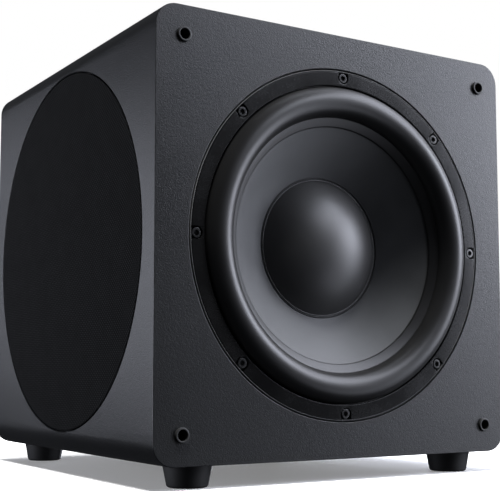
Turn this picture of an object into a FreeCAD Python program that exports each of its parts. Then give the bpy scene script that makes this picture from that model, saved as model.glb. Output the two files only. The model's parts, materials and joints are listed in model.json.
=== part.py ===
import FreeCAD, Part

import math
import os

from FreeCAD import Placement, Rotation, Vector

# A powered subwoofer: a 12 inch driver in the front of a 15 inch cube, a passive radiator behind a
# cloth grille in each side, and an amplifier plate in the rear.
#
# Millimetres. +Z is up and the front faces -Y. The origin is on the floor, under the middle of the
# object. Round units are drawn on their own axis, as (radius, depth) with depth measured inward from
# the cabinet's face, and are then seated in that face.

X_AXIS = Vector(1, 0, 0)
Y_AXIS = Vector(0, 1, 0)
Z_AXIS = Vector(0, 0, 1)
FIT = 0.1  # radial room round a fastener in its hole
RUNNING_FIT = 0.05  # radial room round a shaft that turns

# Cabinet
CABINET = 381.0  # every outer side of the cube
PANEL = 25.0  # sides, top and bottom
BAFFLE = 31.0  # front panel, whose rim is rebated to sit over the other panels
BAFFLE_RIM = 19.0
REAR_PANEL = 25.0  # rebated in the same way
REAR_RIM = 16.0
EDGE_RADIUS = 20.0  # of the four edges that run from front to rear
HALF = CABINET / 2
INNER = HALF - PANEL

# Feet: truncated rubber cones
FOOT_HEIGHT = 19.0
FOOT_TOP_RADIUS = 21.1
FOOT_BASE_RADIUS = 17.3
FOOT_EDGE_RADIUS = 2.0
FOOT_X = 143.5
FOOT_Y = 162.0
FOOT_WELL_RADIUS = 6.0
FOOT_WELL_DEPTH = 10.0
FOOT_SCREW_RADIUS = 2.5
FOOT_SCREW_HEAD_RADIUS = 5.0
FOOT_SCREW_HEAD_HEIGHT = 3.0
FOOT_SCREW_LENGTH = 26.0

FRONT = -HALF
REAR = HALF
SHELL_SPAN = (FRONT + BAFFLE_RIM, REAR - REAR_RIM)  # along Y, of the sides, top and bottom
BASE = FOOT_HEIGHT
TOP = BASE + CABINET
MID = BASE + HALF

# Driver: seat and screws
DRIVER_RADIUS = 157.5  # of the frame's flange and of the trim ring
REBATE_RADIUS = DRIVER_RADIUS + 1.2
CUTOUT_RADIUS = 141.0
TRIM_THICKNESS = 5.5
FLANGE_THICKNESS = 4.0
GASKET_THICKNESS = 1.5
FLANGE_BACK = TRIM_THICKNESS + FLANGE_THICKNESS
REBATE_DEPTH = FLANGE_BACK + GASKET_THICKNESS
SCREW_COUNT = 8
SCREW_CIRCLE = 151.3
SCREW_RADIUS = 2.5
SCREW_HEAD_RADIUS = 4.25
SCREW_HEAD_HEIGHT = 5.0
SCREW_LENGTH = 30.0
SCREW_SOCKET = 4.0  # across the flats of the hexagon
SCREW_SOCKET_DEPTH = 2.6
NOTCH_RADIUS = 5.3
NUT_BARREL_RADIUS = 3.4
NUT_BARREL_LENGTH = 11.0
NUT_FLANGE_RADIUS = 8.5
NUT_FLANGE_THICKNESS = 1.4

# Driver: moving parts and motor
TRIM_INNER_RADIUS = 143.6
ROLL_OUTER = 142.8
ROLL_INNER = 115.3
ROLL_CREST = -8.5  # in front of the cabinet's face
SKIN = 1.2  # thickness of the rubber
LAND_OUTER = 145.6
LAND_INNER = 107.4
LAND_INNER_DEPTH = 9.8
CONE_OUTER = (115.5, 7.1)
CONE_MIDDLE = (81.0, 27.3)
CONE_NECK = (38.0, 56.7)
CONE_THICKNESS = 2.4
CAP_RADIUS = 64.1
CAP_EDGE_DEPTH = 38.2
CAP_CREST_DEPTH = 14.2
CAP_THICKNESS = 1.5
FORMER_RADIUS = 37.2  # inside
FORMER_THICKNESS = 0.4
FORMER_DEPTHS = (53.0, 134.0)
WINDING_THICKNESS = 1.8
WINDING_DEPTHS = (93.0, 133.0)
SPIDER_DEPTH = 80.0
SPIDER_OUTER = 98.0
SPIDER_WAVES = 6
SPIDER_WAVE_HEIGHT = 1.8
SPIDER_THICKNESS = 0.8
PLATE_RADIUS = 85.0
TOP_PLATE_DEPTHS = (104.0, 114.0)
MAGNET_RADII = (45.0, 90.0)
MAGNET_THICKNESS = 20.0
YOKE_THICKNESS = 12.0
POLE_RADIUS = 35.8
POLE_VENT_RADIUS = 12.0
GAP_RADIUS = 41.0
MAGNETS_BACK = TOP_PLATE_DEPTHS[1] + 2 * MAGNET_THICKNESS
YOKE_BACK = MAGNETS_BACK + YOKE_THICKNESS
BOOT_THICKNESS = 2.5
BOOT_LAP = 4.0  # over the top plate
BOOT_HOLE_RADIUS = 70.0
BASKET_RIM_INNER = 137.0
BASKET_SHOULDER_OUTER = (139.0, 24.0)
BASKET_SHOULDER_INNER = (134.0, 23.0)
BASKET_LEDGE_INNER = 94.0  # the spider's waves end here
BASKET_WALL = 5.0
BASKET_FLOOR_RADII = (52.0, 90.0)
BASKET_WINDOW_DEPTHS = (36.0, 72.0)
BASKET_WINDOW_ANGLE = 33.0

# Sockets for the pegs of a front grille
SOCKET_X = 164.4
SOCKET_Z = 165.0  # above and below the middle of the cabinet
SOCKET_BORE = 4.6
SOCKET_COLLAR_RADIUS = 6.4
SOCKET_COLLAR_HEIGHT = 2.3
SOCKET_BARREL_RADIUS = 5.8  # at the cabinet's face
SOCKET_TAPER = 0.3  # taken from the barrel's radius at its inner end
SOCKET_DEPTH = 12.0
SOCKET_FLOOR = 2.0

# Side grilles
GRILLE_RADIUS = 169.5
GRILLE_GAP = 1.0
GRILLE_RECESS = 8.0
GRILLE_FRAME_BACK = 7.4
GRILLE_FRAME_INNER = 152.0
CLOTH_THICKNESS = 0.7
PEG_COUNT = 6
PEG_CIRCLE = 165.2
PEG_RADIUS = 2.4
PEG_LENGTH = 11.0
PEG_HOLE_RADIUS = 2.7
PEG_FIRST_ANGLE = 30.0

# Passive radiators
RADIATOR_Y = 2.0
RADIATOR_FLANGE_RADIUS = 159.5
RADIATOR_FLANGE_THICKNESS = 5.0
RADIATOR_CUTOUT = 143.0
RADIATOR_WALL = (139.5, 142.3)
RADIATOR_LEDGE_INNER = 134.0
RADIATOR_LEDGE_DEPTHS = (26.0, 29.0)
RADIATOR_ROLL = (109.3, 133.3)
RADIATOR_ROLL_DEPTH = 38.0
RADIATOR_CONE_RADIUS = 109.0
RADIATOR_CONE_CENTRE_DEPTH = 33.0
RADIATOR_CONE_FLAT = 45.0
RADIATOR_CONE_RIM = 9.0
RADIATOR_SURROUND_LAP = 8.0  # over the cone's rim
RADIATOR_CONE_THICKNESS = 4.0
RADIATOR_WEIGHT_RADIUS = 38.0
RADIATOR_WEIGHT_THICKNESS = 14.0
RADIATOR_SCREW_CIRCLE = 151.0
RADIATOR_SCREW_HEAD_RADIUS = 4.0
RADIATOR_SCREW_HEAD_DEPTH = GRILLE_RECESS + 2.5
RADIATOR_SCREW_LENGTH = 11.0
RADIATOR_SCREW_HOLE = 10.0  # its depth behind the frame

# Brace and wadding
BRACE_Y = 40.0
BRACE_THICKNESS = 18.0
BRACE_HALF_WIDTH = 90.0
BRACE_WINDOW_HALF_WIDTH = 60.0
BRACE_LEG = 38.0
WADDING_HALF_WIDTH = 130.0
WADDING_THICKNESS = 20.0
WADDING_ROOM = 8.0  # before and behind each piece of wadding

# Amplifier
AMP_PLATE = 240.0  # square
AMP_PLATE_THICKNESS = 3.0
AMP_PLATE_CORNER = 8.0
AMP_GASKET_THICKNESS = 1.5
AMP_CUTOUT = 212.0  # square
AMP_REBATE = AMP_PLATE + 1.0
AMP_PLATE_BACK = REAR - AMP_PLATE_THICKNESS
AMP_SEAT = AMP_PLATE_BACK - AMP_GASKET_THICKNESS
AMP_BOX = 208.0
AMP_BOX_FRONT = 118.0
AMP_BOX_WALL = 2.0
AMP_SCREW_OFFSET = 113.0
AMP_SCREW_RADIUS = 2.0
AMP_SCREW_HEAD_RADIUS = 4.0
AMP_SCREW_HEAD_HEIGHT = 2.4
AMP_SCREW_LENGTH = 18.0
BOARD = 190.0
BOARD_THICKNESS = 1.6
BOARD_Y = 148.0
BOARD_PARTS_HEIGHT = 25.0
CAPACITOR_RADIUS = 12.5
CAPACITOR_PLACES = ((20.0, MID - 60.0), (48.0, MID - 60.0), (76.0, MID - 60.0))
CHOKE_RADIUS = 11.0
CHOKE_HEIGHT = 14.0
CHOKE_PLACES = ((-70.0, MID - 50.0), (-40.0, MID - 50.0))
SPREADER_SIZE = (150.0, 12.0)
SPREADER_PLACE = (0.0, MID + 20.0)
STANDOFF_OFFSET = 87.0
STANDOFF_RADIUS = 3.0
TRANSFORMER_PLACE = (52.0, MID - 45.0)
TRANSFORMER_RADII = (14.0, 40.0)
TRANSFORMER_HEIGHT = 30.0
TRANSFORMER_EDGE = 6.0

# Controls and connectors on the plate, each at (x, z)
LEVEL_PLACE = (-78.0, MID + 74.0)
CROSSOVER_PLACE = (-38.0, MID + 74.0)
PHASE_PLACE = (2.0, MID + 74.0)
JACK_PLACES = ((44.0, MID + 74.0), (70.0, MID + 74.0))
INLET_PLACE = (-70.0, MID - 78.0)
ROCKER_PLACE = (-20.0, MID - 78.0)
REAR_PROUD = 8.5  # how far the controls and jacks stand out of the rear
KNOB_RADIUS = 8.0
KNOB_GAP = 0.6
KNOB_RIBS = 24
KNOB_GROOVE_RADIUS = 0.6
KNOB_RIM = 1.0  # without grooves, at the knob's face
POINTER_SIZE = (1.0, KNOB_RADIUS)
POINTER_DEPTH = 0.6
SHAFT_RADIUS = 3.0
SHAFT_DEPTH = 7.0  # of the shaft's end inside its knob
BUSH_RADIUS = 3.6
POT_RADIUS = 8.5
POT_DEPTH = 10.0
POT_FLOOR = 2.0
SHAFT_END_GAP = 1.0
JACK_RADIUS = 4.15
JACK_BORE = 1.7
JACK_BORE_END = REAR - 2.0
JACK_FLANGE_RADIUS = 6.2
JACK_FLANGE_THICKNESS = 1.0
JACK_BODY_LENGTH = 9.0
INLET_FLANGE = (31.0, 27.0)
INLET_BODY = (27.6, 23.0)
INLET_MOUTH = (24.4, 16.6)
INLET_FLANGE_THICKNESS = 2.5
INLET_CORNER = 3.0
INLET_DEPTH = 21.0
INLET_MOUTH_DEPTH = 18.0
INLET_PIN = (2.0, 4.0)
INLET_PIN_LENGTH = 10.2
INLET_PIN_SPACING = 7.0
INLET_EARTH_RISE = 2.0
ROCKER_FRAME = (21.0, 15.0)
ROCKER_BODY = (19.0, 13.0)
ROCKER_WELL = (16.4, 10.4)
ROCKER_WELL_DEPTH = 9.0
ROCKER_BODY_DEPTH = 14.0
ROCKER_FRAME_THICKNESS = 1.5
ROCKER_FRAME_CORNER = 2.0
ROCKER_SIZE = (15.0, 9.6)
ROCKER_CROWN = 3.5  # height of its ends above the plate
ROCKER_DIP = 1.2  # how much lower its middle is
ROCKER_ROOT_WIDTH = 9.0
ROCKER_ROOT_DEPTH = 5.0
ROCKER_TILT = 8.0
ROCKER_PIVOT_Y = REAR - 0.5
ROCKER_PIN_RADIUS = 1.0
ROCKER_PIN_REACH = 5.9  # from the middle to each pin's end
ROCKER_PIN_ROOM = 0.2  # beyond each pin's end, in its socket
SLIDER_SLOT = (12.0, 4.4)
SLIDER_BODY = (16.0, 8.0)
SLIDER_BODY_DEPTH = 8.0
SLIDER_TRACK = (10.2, 3.8)
SLIDER_TRACK_DEPTH = 4.0
SLIDER_SIZE = (4.0, 3.6)
SLIDER_DEPTH = 3.5  # of its foot in the track
SLIDER_PROUD = 1.0
SLIDER_TRAVEL = 5.0

# The driver's lead: corners of its route from the terminals to the amplifier's box
LEAD_RADIUS = 3.0
LEAD_ROUTE = [
    (0.0, -94.0, 99.0),
    (0.0, -68.0, 99.0),
    (11.0, -24.0, 88.0),
    (24.0, 24.0, 90.0),
    (20.0, 66.0, 103.0),
    (12.0, 94.0, 110.0),
    (12.0, 118.0, 110.0),
]
LEAD_ARC_SHARE = 0.45  # of the shorter run beside an arc
TERMINAL_SIZE = (30.0, 15.0, 16.0)

WOOFER_SEAT = Placement(Vector(0, FRONT, MID), Rotation(Z_AXIS, Y_AXIS))
SIDE_SEATS = {
    "left": Placement(Vector(-HALF, RADIATOR_Y, MID), Rotation(Z_AXIS, X_AXIS)),
    "right": Placement(Vector(HALF, RADIATOR_Y, MID), Rotation(Z_AXIS, -X_AXIS)),
}


# --- Shared shapes ---


def turned(profile):
    """A solid of revolution about local Z. A corner is (radius, depth), or (radius, depth, via) when
    the edge that arrives there is an arc through via."""
    edges = []
    here = Vector(profile[0][0], 0, profile[0][1])
    for corner in profile[1:] + profile[:1]:
        there = Vector(corner[0], 0, corner[1])
        if len(corner) == 3:
            via = Vector(corner[2][0], 0, corner[2][1])
            edges.append(Part.Arc(here, via, there).toShape())
        else:
            edges.append(Part.makeLine(here, there))
        here = there
    solid = Part.Face(Part.Wire(edges)).revolve(Vector(), Z_AXIS, 360)
    if solid.Volume < 0:
        solid.reverse()
    return solid


def disc(radius, near, far, place=(0, 0)):
    return Part.makeCylinder(radius, far - near, Vector(place[0], place[1], near))


def ring(inner, outer, near, far):
    return disc(outer, near, far).cut(disc(inner, near, far))


def circle_places(count, radius, first=0.0):
    angles = [math.radians(first + 360.0 * i / count) for i in range(count)]
    return [(radius * math.cos(a), radius * math.sin(a)) for a in angles]


def seated(shape, seat):
    return shape.transformed(seat.toMatrix())


def block(x_range, y_range, z_range):
    low = Vector(x_range[0], y_range[0], z_range[0])
    size = Vector(x_range[1], y_range[1], z_range[1]) - low
    return Part.makeBox(size.x, size.y, size.z, low)


def plate(size, y_range, place, corner=0.0):
    """A plate of size (width, height) about place (x, z), filling y_range, with its corners rounded."""
    half_width, half_height = size[0] / 2, size[1] / 2
    x, z = place
    solid = block((x - half_width, x + half_width), y_range, (z - half_height, z + half_height))
    if corner:
        solid = solid.makeFillet(corner, edges_along(solid, Y_AXIS))
    return solid


def rod(radius, y_range, place):
    """A cylinder along Y about place (x, z)."""
    start = Vector(place[0], y_range[0], place[1])
    return Part.makeCylinder(radius, y_range[1] - y_range[0], start, Y_AXIS)


def tapered_rod(near_radius, far_radius, y_range, place):
    start = Vector(place[0], y_range[0], place[1])
    return Part.makeCone(near_radius, far_radius, y_range[1] - y_range[0], start, Y_AXIS)


def hexagon(across_flats, near, far, place=(0, 0)):
    radius = across_flats / math.sqrt(3)
    corners = [Vector(place[0] + x, place[1] + y, near) for x, y in circle_places(6, radius)]
    return Part.Face(Part.makePolygon(corners + corners[:1])).extrude(Vector(0, 0, far - near))


def edges_along(solid, axis):
    found = []
    for edge in solid.Edges:
        if len(edge.Vertexes) == 2:
            span = edge.Vertexes[1].Point - edge.Vertexes[0].Point
            if abs(abs(span.normalize().dot(axis)) - 1) < 1e-6:
                found.append(edge)
    return found


def group(solids):
    return Part.makeCompound(solids)


# --- Cabinet ---


def rounded_bar(y_range):
    """A slice of the cabinet's outer shape."""
    return plate((CABINET, CABINET), y_range, (0, MID), EDGE_RADIUS)


def rebated_panel(rim_span, whole_span):
    """A panel as large as the cabinet at its rim, that fits between the other panels further in."""
    inside = block((-INNER, INNER), whole_span, (MID - INNER, MID + INNER))
    return rounded_bar(rim_span).fuse(inside).removeSplitter()


def driver_screw_places():
    return circle_places(SCREW_COUNT, SCREW_CIRCLE)


def socket_places():
    return [(sx * SOCKET_X, MID + sz * SOCKET_Z) for sx in (-1, 1) for sz in (-1, 1)]


def foot_places():
    names = {"front_left": (-1, -1), "front_right": (1, -1), "rear_left": (-1, 1), "rear_right": (1, 1)}
    return {name: (sx * FOOT_X, sy * FOOT_Y) for name, (sx, sy) in names.items()}


def socket_barrel(place, room):
    span = (FRONT, FRONT + SOCKET_DEPTH + SOCKET_FLOOR)
    near = SOCKET_BARREL_RADIUS + room
    return tapered_rod(near, near - SOCKET_TAPER, span, place)


def front_baffle():
    cuts = [disc(REBATE_RADIUS, 0, REBATE_DEPTH), disc(CUTOUT_RADIUS, 0, BAFFLE)]
    for place in driver_screw_places():
        cuts.append(disc(SCREW_RADIUS + FIT, 0, BAFFLE, place))
        cuts.append(disc(NUT_BARREL_RADIUS + FIT, BAFFLE - NUT_BARREL_LENGTH, BAFFLE, place))
    cuts = [seated(cut, WOOFER_SEAT) for cut in cuts]
    cuts += [socket_barrel(place, FIT) for place in socket_places()]
    return rebated_panel((FRONT, FRONT + BAFFLE_RIM), (FRONT, FRONT + BAFFLE)).cut(cuts)


def rear_panel():
    whole = (REAR - REAR_PANEL, REAR)
    cuts = [
        plate((AMP_REBATE, AMP_REBATE), (AMP_SEAT, REAR), (0, MID), AMP_PLATE_CORNER),
        plate((AMP_CUTOUT, AMP_CUTOUT), whole, (0, MID), AMP_PLATE_CORNER),
    ]
    for place in amp_screw_places():
        cuts.append(rod(AMP_SCREW_RADIUS + FIT, (REAR - AMP_SCREW_LENGTH, REAR), place))
    return rebated_panel((REAR - REAR_RIM, REAR), whole).cut(cuts)


def flat_panel(side):
    """The top (side = 1) or the bottom (side = -1) panel."""
    near = MID + side * INNER
    far = MID + side * HALF
    slab = block((-INNER, INNER), SHELL_SPAN, (min(near, far), max(near, far)))
    if side > 0:
        return slab
    corners = [Vector(x, y, BASE) for x, y in foot_places().values()]
    return slab.cut([Part.makeCylinder(FOOT_SCREW_RADIUS + FIT, PANEL, at) for at in corners])


def side_panel(side):
    across = (-HALF, -INNER) if side == "left" else (INNER, HALF)
    slab = rounded_bar(SHELL_SPAN).common(block(across, SHELL_SPAN, (BASE, TOP)))
    flange_back = GRILLE_RECESS + RADIATOR_FLANGE_THICKNESS
    cuts = [
        disc(GRILLE_RADIUS + GRILLE_GAP, 0, GRILLE_RECESS),
        disc(RADIATOR_FLANGE_RADIUS + FIT, 0, flange_back),
        disc(RADIATOR_CUTOUT, 0, PANEL),
    ]
    for place in circle_places(PEG_COUNT, PEG_CIRCLE, PEG_FIRST_ANGLE):
        cuts.append(disc(PEG_HOLE_RADIUS, 0, GRILLE_FRAME_BACK + PEG_LENGTH + 1, place))
    for place in circle_places(SCREW_COUNT, RADIATOR_SCREW_CIRCLE):
        cuts.append(disc(AMP_SCREW_RADIUS + FIT, 0, flange_back + RADIATOR_SCREW_HOLE, place))
    return slab.cut([seated(cut, SIDE_SEATS[side]) for cut in cuts])


def window_brace():
    """An upright frame between the top and bottom panels, behind the driver's magnets."""
    span = (BRACE_Y, BRACE_Y + BRACE_THICKNESS)
    outside = block((-BRACE_HALF_WIDTH, BRACE_HALF_WIDTH), span, (MID - INNER, MID + INNER))
    window_size = (2 * BRACE_WINDOW_HALF_WIDTH, 2 * (INNER - BRACE_LEG))
    return outside.cut(plate(window_size, span, (0, MID), EDGE_RADIUS))


def damping_wadding():
    """Felt laid on the bottom panel and under the top panel, in front of the brace and behind it."""
    width = (-WADDING_HALF_WIDTH, WADDING_HALF_WIDTH)
    lengths = (
        (FRONT + BAFFLE + WADDING_ROOM, BRACE_Y - WADDING_ROOM),
        (BRACE_Y + BRACE_THICKNESS + WADDING_ROOM, REAR - REAR_PANEL - WADDING_ROOM),
    )
    floor = (MID - INNER, MID - INNER + WADDING_THICKNESS)
    ceiling = (MID + INNER - WADDING_THICKNESS, MID + INNER)
    return group([block(width, length, height) for length in lengths for height in (floor, ceiling)])


# --- Feet ---


def foot(place):
    edge_slope = FOOT_EDGE_RADIUS * (FOOT_TOP_RADIUS - FOOT_BASE_RADIUS) / FOOT_HEIGHT
    bend = FOOT_EDGE_RADIUS * (1 - math.sqrt(0.5))
    profile = [
        (FOOT_SCREW_RADIUS + FIT, FOOT_WELL_DEPTH),
        (FOOT_WELL_RADIUS, FOOT_WELL_DEPTH),
        (FOOT_WELL_RADIUS, 0),
        (FOOT_BASE_RADIUS - FOOT_EDGE_RADIUS, 0),
        (
            FOOT_BASE_RADIUS + edge_slope,
            FOOT_EDGE_RADIUS,
            (FOOT_BASE_RADIUS - bend + edge_slope / 2, bend),
        ),
        (FOOT_TOP_RADIUS, FOOT_HEIGHT),
        (FOOT_SCREW_RADIUS + FIT, FOOT_HEIGHT),
    ]
    return seated(turned(profile), Placement(Vector(place[0], place[1], 0), Rotation()))


def foot_screws():
    head_bottom = FOOT_WELL_DEPTH - FOOT_SCREW_HEAD_HEIGHT
    screws = []
    for x, y in foot_places().values():
        head_start = Vector(x, y, head_bottom)
        head = Part.makeCylinder(FOOT_SCREW_HEAD_RADIUS, FOOT_SCREW_HEAD_HEIGHT, head_start)
        shank_start = Vector(x, y, FOOT_WELL_DEPTH)
        shank = Part.makeCylinder(FOOT_SCREW_RADIUS, FOOT_SCREW_LENGTH, shank_start)
        screws.append(head.fuse(shank))
    return group(screws)


def grille_sockets():
    """Rubber cups that hold the pegs of a front grille."""
    sockets = []
    for place in socket_places():
        collar = rod(SOCKET_COLLAR_RADIUS, (FRONT - SOCKET_COLLAR_HEIGHT, FRONT), place)
        bore = rod(SOCKET_BORE, (FRONT - SOCKET_COLLAR_HEIGHT, FRONT + SOCKET_DEPTH), place)
        sockets.append(collar.fuse(socket_barrel(place, 0)).cut(bore))
    return group(sockets)


# --- Driver ---


def woofer_basket():
    """A cast frame: flange, eight spokes, a ledge for the spider and a seat for the motor."""
    seat_depth = TOP_PLATE_DEPTHS[0]
    spider_back = SPIDER_DEPTH + SPIDER_THICKNESS
    floor_inner, floor_outer = BASKET_FLOOR_RADII
    profile = [
        (BASKET_RIM_INNER, TRIM_THICKNESS),
        (DRIVER_RADIUS, TRIM_THICKNESS),
        (DRIVER_RADIUS, FLANGE_BACK),
        (CUTOUT_RADIUS - 0.5, FLANGE_BACK),
        BASKET_SHOULDER_OUTER,
        (SPIDER_OUTER + BASKET_WALL, SPIDER_DEPTH),
        (SPIDER_OUTER + BASKET_WALL - 2, SPIDER_DEPTH + 12),
        (floor_outer, seat_depth),
        (floor_inner, seat_depth),
        (floor_inner, seat_depth - BASKET_WALL),
        (floor_outer - 4, seat_depth - BASKET_WALL),
        (BASKET_LEDGE_INNER, SPIDER_DEPTH + 10),
        (BASKET_LEDGE_INNER, spider_back),
        (SPIDER_OUTER + FIT, spider_back),
        (SPIDER_OUTER + FIT, SPIDER_DEPTH - 2),
        BASKET_SHOULDER_INNER,
    ]
    basket = turned(profile)
    near, far = BASKET_WINDOW_DEPTHS
    half_angle = math.radians(BASKET_WINDOW_ANGLE / 2)
    reach = DRIVER_RADIUS
    corners = [
        Vector(0, 0, near),
        Vector(reach * math.cos(half_angle), -reach * math.sin(half_angle), near),
        Vector(reach * math.cos(half_angle), reach * math.sin(half_angle), near),
    ]
    wedge = Part.Face(Part.makePolygon(corners + corners[:1])).extrude(Vector(0, 0, far - near))
    pitch = 360.0 / SCREW_COUNT
    windows = [wedge.rotated(Vector(), Z_AXIS, pitch * (i + 0.5)) for i in range(SCREW_COUNT)]
    holes = [disc(SCREW_RADIUS + FIT, 0, BAFFLE, place) for place in driver_screw_places()]
    return seated(basket.cut(windows + holes), WOOFER_SEAT)


def woofer_gasket():
    band = ring(CUTOUT_RADIUS, DRIVER_RADIUS, FLANGE_BACK, REBATE_DEPTH)
    holes = [disc(SCREW_RADIUS + FIT, 0, BAFFLE, place) for place in driver_screw_places()]
    return seated(band.cut(holes), WOOFER_SEAT)


def woofer_trim_ring():
    """A moulded ring over the flange, with a round-ended notch, open outward, for each screw."""
    body = ring(TRIM_INNER_RADIUS, DRIVER_RADIUS, 0, TRIM_THICKNESS)
    relief = ring(TRIM_INNER_RADIUS, LAND_OUTER + FIT, TRIM_THICKNESS - SKIN, TRIM_THICKNESS)
    cuts = [relief]
    notch = disc(NOTCH_RADIUS, 0, TRIM_THICKNESS, (SCREW_CIRCLE, 0))
    mouth_length = REBATE_RADIUS - SCREW_CIRCLE
    mouth_corner = Vector(SCREW_CIRCLE, -NOTCH_RADIUS, 0)
    mouth = Part.makeBox(mouth_length, 2 * NOTCH_RADIUS, TRIM_THICKNESS, mouth_corner)
    for i in range(SCREW_COUNT):
        cuts.append(notch.fuse(mouth).rotated(Vector(), Z_AXIS, 360.0 * i / SCREW_COUNT))
    return seated(body.cut(cuts), WOOFER_SEAT)


def woofer_screws():
    screws = []
    top = TRIM_THICKNESS - SCREW_HEAD_HEIGHT
    for place in driver_screw_places():
        head = disc(SCREW_HEAD_RADIUS, top, TRIM_THICKNESS, place)
        shank = disc(SCREW_RADIUS, TRIM_THICKNESS, TRIM_THICKNESS + SCREW_LENGTH, place)
        socket = hexagon(SCREW_SOCKET, top, top + SCREW_SOCKET_DEPTH, place)
        screws.append(seated(head.fuse(shank).cut(socket), WOOFER_SEAT))
    return group(screws)


def woofer_tee_nuts():
    nuts = []
    for place in driver_screw_places():
        barrel = disc(NUT_BARREL_RADIUS, BAFFLE - NUT_BARREL_LENGTH, BAFFLE, place)
        flange = disc(NUT_FLANGE_RADIUS, BAFFLE, BAFFLE + NUT_FLANGE_THICKNESS, place)
        thread = disc(SCREW_RADIUS + FIT, 0, 2 * BAFFLE, place)
        nuts.append(seated(barrel.fuse(flange).cut(thread), WOOFER_SEAT))
    return group(nuts)


def woofer_surround():
    """A half roll between a land under the trim ring and a land on the cone."""
    middle = (ROLL_OUTER + ROLL_INNER) / 2
    back = TRIM_THICKNESS
    profile = [
        (LAND_OUTER, back),
        (LAND_OUTER, back - SKIN),
        (ROLL_OUTER, back - SKIN),
        (ROLL_INNER, CONE_OUTER[1] - SKIN - FIT, (middle, ROLL_CREST)),
        (LAND_INNER, LAND_INNER_DEPTH),
        (LAND_INNER, LAND_INNER_DEPTH + SKIN),
        (CONE_OUTER[0], CONE_OUTER[1] - FIT),
        (ROLL_INNER + SKIN, CONE_OUTER[1] - SKIN / 2),
        (ROLL_OUTER - SKIN, back, (middle, ROLL_CREST + SKIN)),
    ]
    return seated(turned(profile), WOOFER_SEAT)


def woofer_cone():
    back = [(radius, depth + CONE_THICKNESS) for radius, depth in (CONE_OUTER, CONE_MIDDLE, CONE_NECK)]
    profile = [
        CONE_OUTER,
        (CONE_NECK[0], CONE_NECK[1], CONE_MIDDLE),
        back[2],
        (back[0][0], back[0][1], back[1]),
    ]
    return seated(turned(profile), WOOFER_SEAT)


def dust_cap():
    """A shallow dome whose rim rests on the cone."""
    rise = CAP_EDGE_DEPTH - CAP_CREST_DEPTH
    sphere = (CAP_RADIUS**2 + rise**2) / (2 * rise)
    centre = CAP_CREST_DEPTH + sphere
    via_radius = CAP_RADIUS / 2
    inside = sphere - CAP_THICKNESS
    inner_radius = CAP_RADIUS - CAP_THICKNESS
    front_via = (via_radius, centre - math.sqrt(sphere**2 - via_radius**2))
    back_via = (via_radius, centre - math.sqrt(inside**2 - via_radius**2))
    profile = [
        (0, CAP_CREST_DEPTH),
        (CAP_RADIUS, CAP_EDGE_DEPTH, front_via),
        (inner_radius, centre - math.sqrt(inside**2 - inner_radius**2)),
        (0, CAP_CREST_DEPTH + CAP_THICKNESS, back_via),
    ]
    return seated(turned(profile), WOOFER_SEAT)


def voice_coil_former():
    tube = ring(FORMER_RADIUS, FORMER_RADIUS + FORMER_THICKNESS, *FORMER_DEPTHS)
    return seated(tube, WOOFER_SEAT)


def voice_coil_winding():
    inner = FORMER_RADIUS + FORMER_THICKNESS
    return seated(ring(inner, inner + WINDING_THICKNESS, *WINDING_DEPTHS), WOOFER_SEAT)


def woofer_spider():
    """A corrugated disc from the former to the frame's ledge."""
    inner = FORMER_RADIUS + FORMER_THICKNESS
    wave = (BASKET_LEDGE_INNER - inner) / (2 * SPIDER_WAVES)
    front, back = [(inner, SPIDER_DEPTH)], [(inner, SPIDER_DEPTH + SPIDER_THICKNESS)]
    for i in range(2 * SPIDER_WAVES):
        side = 1 if i % 2 else -1
        start = inner + i * wave
        for line, depth in ((front, SPIDER_DEPTH), (back, SPIDER_DEPTH + SPIDER_THICKNESS)):
            crest = (start + wave / 2, depth + side * SPIDER_WAVE_HEIGHT)
            line.append((start + wave, depth, crest))
    front.append((SPIDER_OUTER, SPIDER_DEPTH))
    profile = front + [(SPIDER_OUTER, SPIDER_DEPTH + SPIDER_THICKNESS)]
    vias = [corner[2] for corner in back[1:]]
    profile.append(back[-1][:2])
    for corner, via in zip(reversed(back[:-1]), reversed(vias)):
        profile.append((corner[0], corner[1], via))
    return seated(turned(profile), WOOFER_SEAT)


def woofer_top_plate():
    return seated(ring(GAP_RADIUS, PLATE_RADIUS, *TOP_PLATE_DEPTHS), WOOFER_SEAT)


def woofer_magnets():
    depths = [TOP_PLATE_DEPTHS[1] + i * MAGNET_THICKNESS for i in range(2)]
    rings = [ring(MAGNET_RADII[0], MAGNET_RADII[1], depth, depth + MAGNET_THICKNESS) for depth in depths]
    return group([seated(magnet, WOOFER_SEAT) for magnet in rings])


def woofer_yoke():
    """The back plate and the vented pole, forged in one piece."""
    profile = [
        (POLE_VENT_RADIUS, TOP_PLATE_DEPTHS[0] - 2),
        (POLE_RADIUS, TOP_PLATE_DEPTHS[0] - 2),
        (POLE_RADIUS, MAGNETS_BACK),
        (PLATE_RADIUS, MAGNETS_BACK),
        (PLATE_RADIUS, YOKE_BACK),
        (POLE_VENT_RADIUS, YOKE_BACK),
    ]
    return seated(turned(profile), WOOFER_SEAT)


def woofer_magnet_boot():
    inner = MAGNET_RADII[1] + FIT
    outer = inner + BOOT_THICKNESS
    front = TOP_PLATE_DEPTHS[1] - BOOT_LAP
    profile = [
        (inner, front),
        (outer, front),
        (outer, YOKE_BACK + BOOT_THICKNESS),
        (BOOT_HOLE_RADIUS, YOKE_BACK + BOOT_THICKNESS),
        (BOOT_HOLE_RADIUS, YOKE_BACK),
        (inner, YOKE_BACK),
    ]
    return seated(turned(profile), WOOFER_SEAT)


def woofer_terminals():
    """The terminal block on the underside of the frame, shaped to sit on it."""
    width, length, height = TERMINAL_SIZE
    x, y, z = LEAD_ROUTE[0]
    body = block((x - width / 2, x + width / 2), (y - length, y), (z - height / 2, z + height / 2))
    envelope = seated(disc(SPIDER_OUTER + BASKET_WALL, 0, YOKE_BACK), WOOFER_SEAT)
    return body.cut(envelope).Solids[0]


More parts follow.
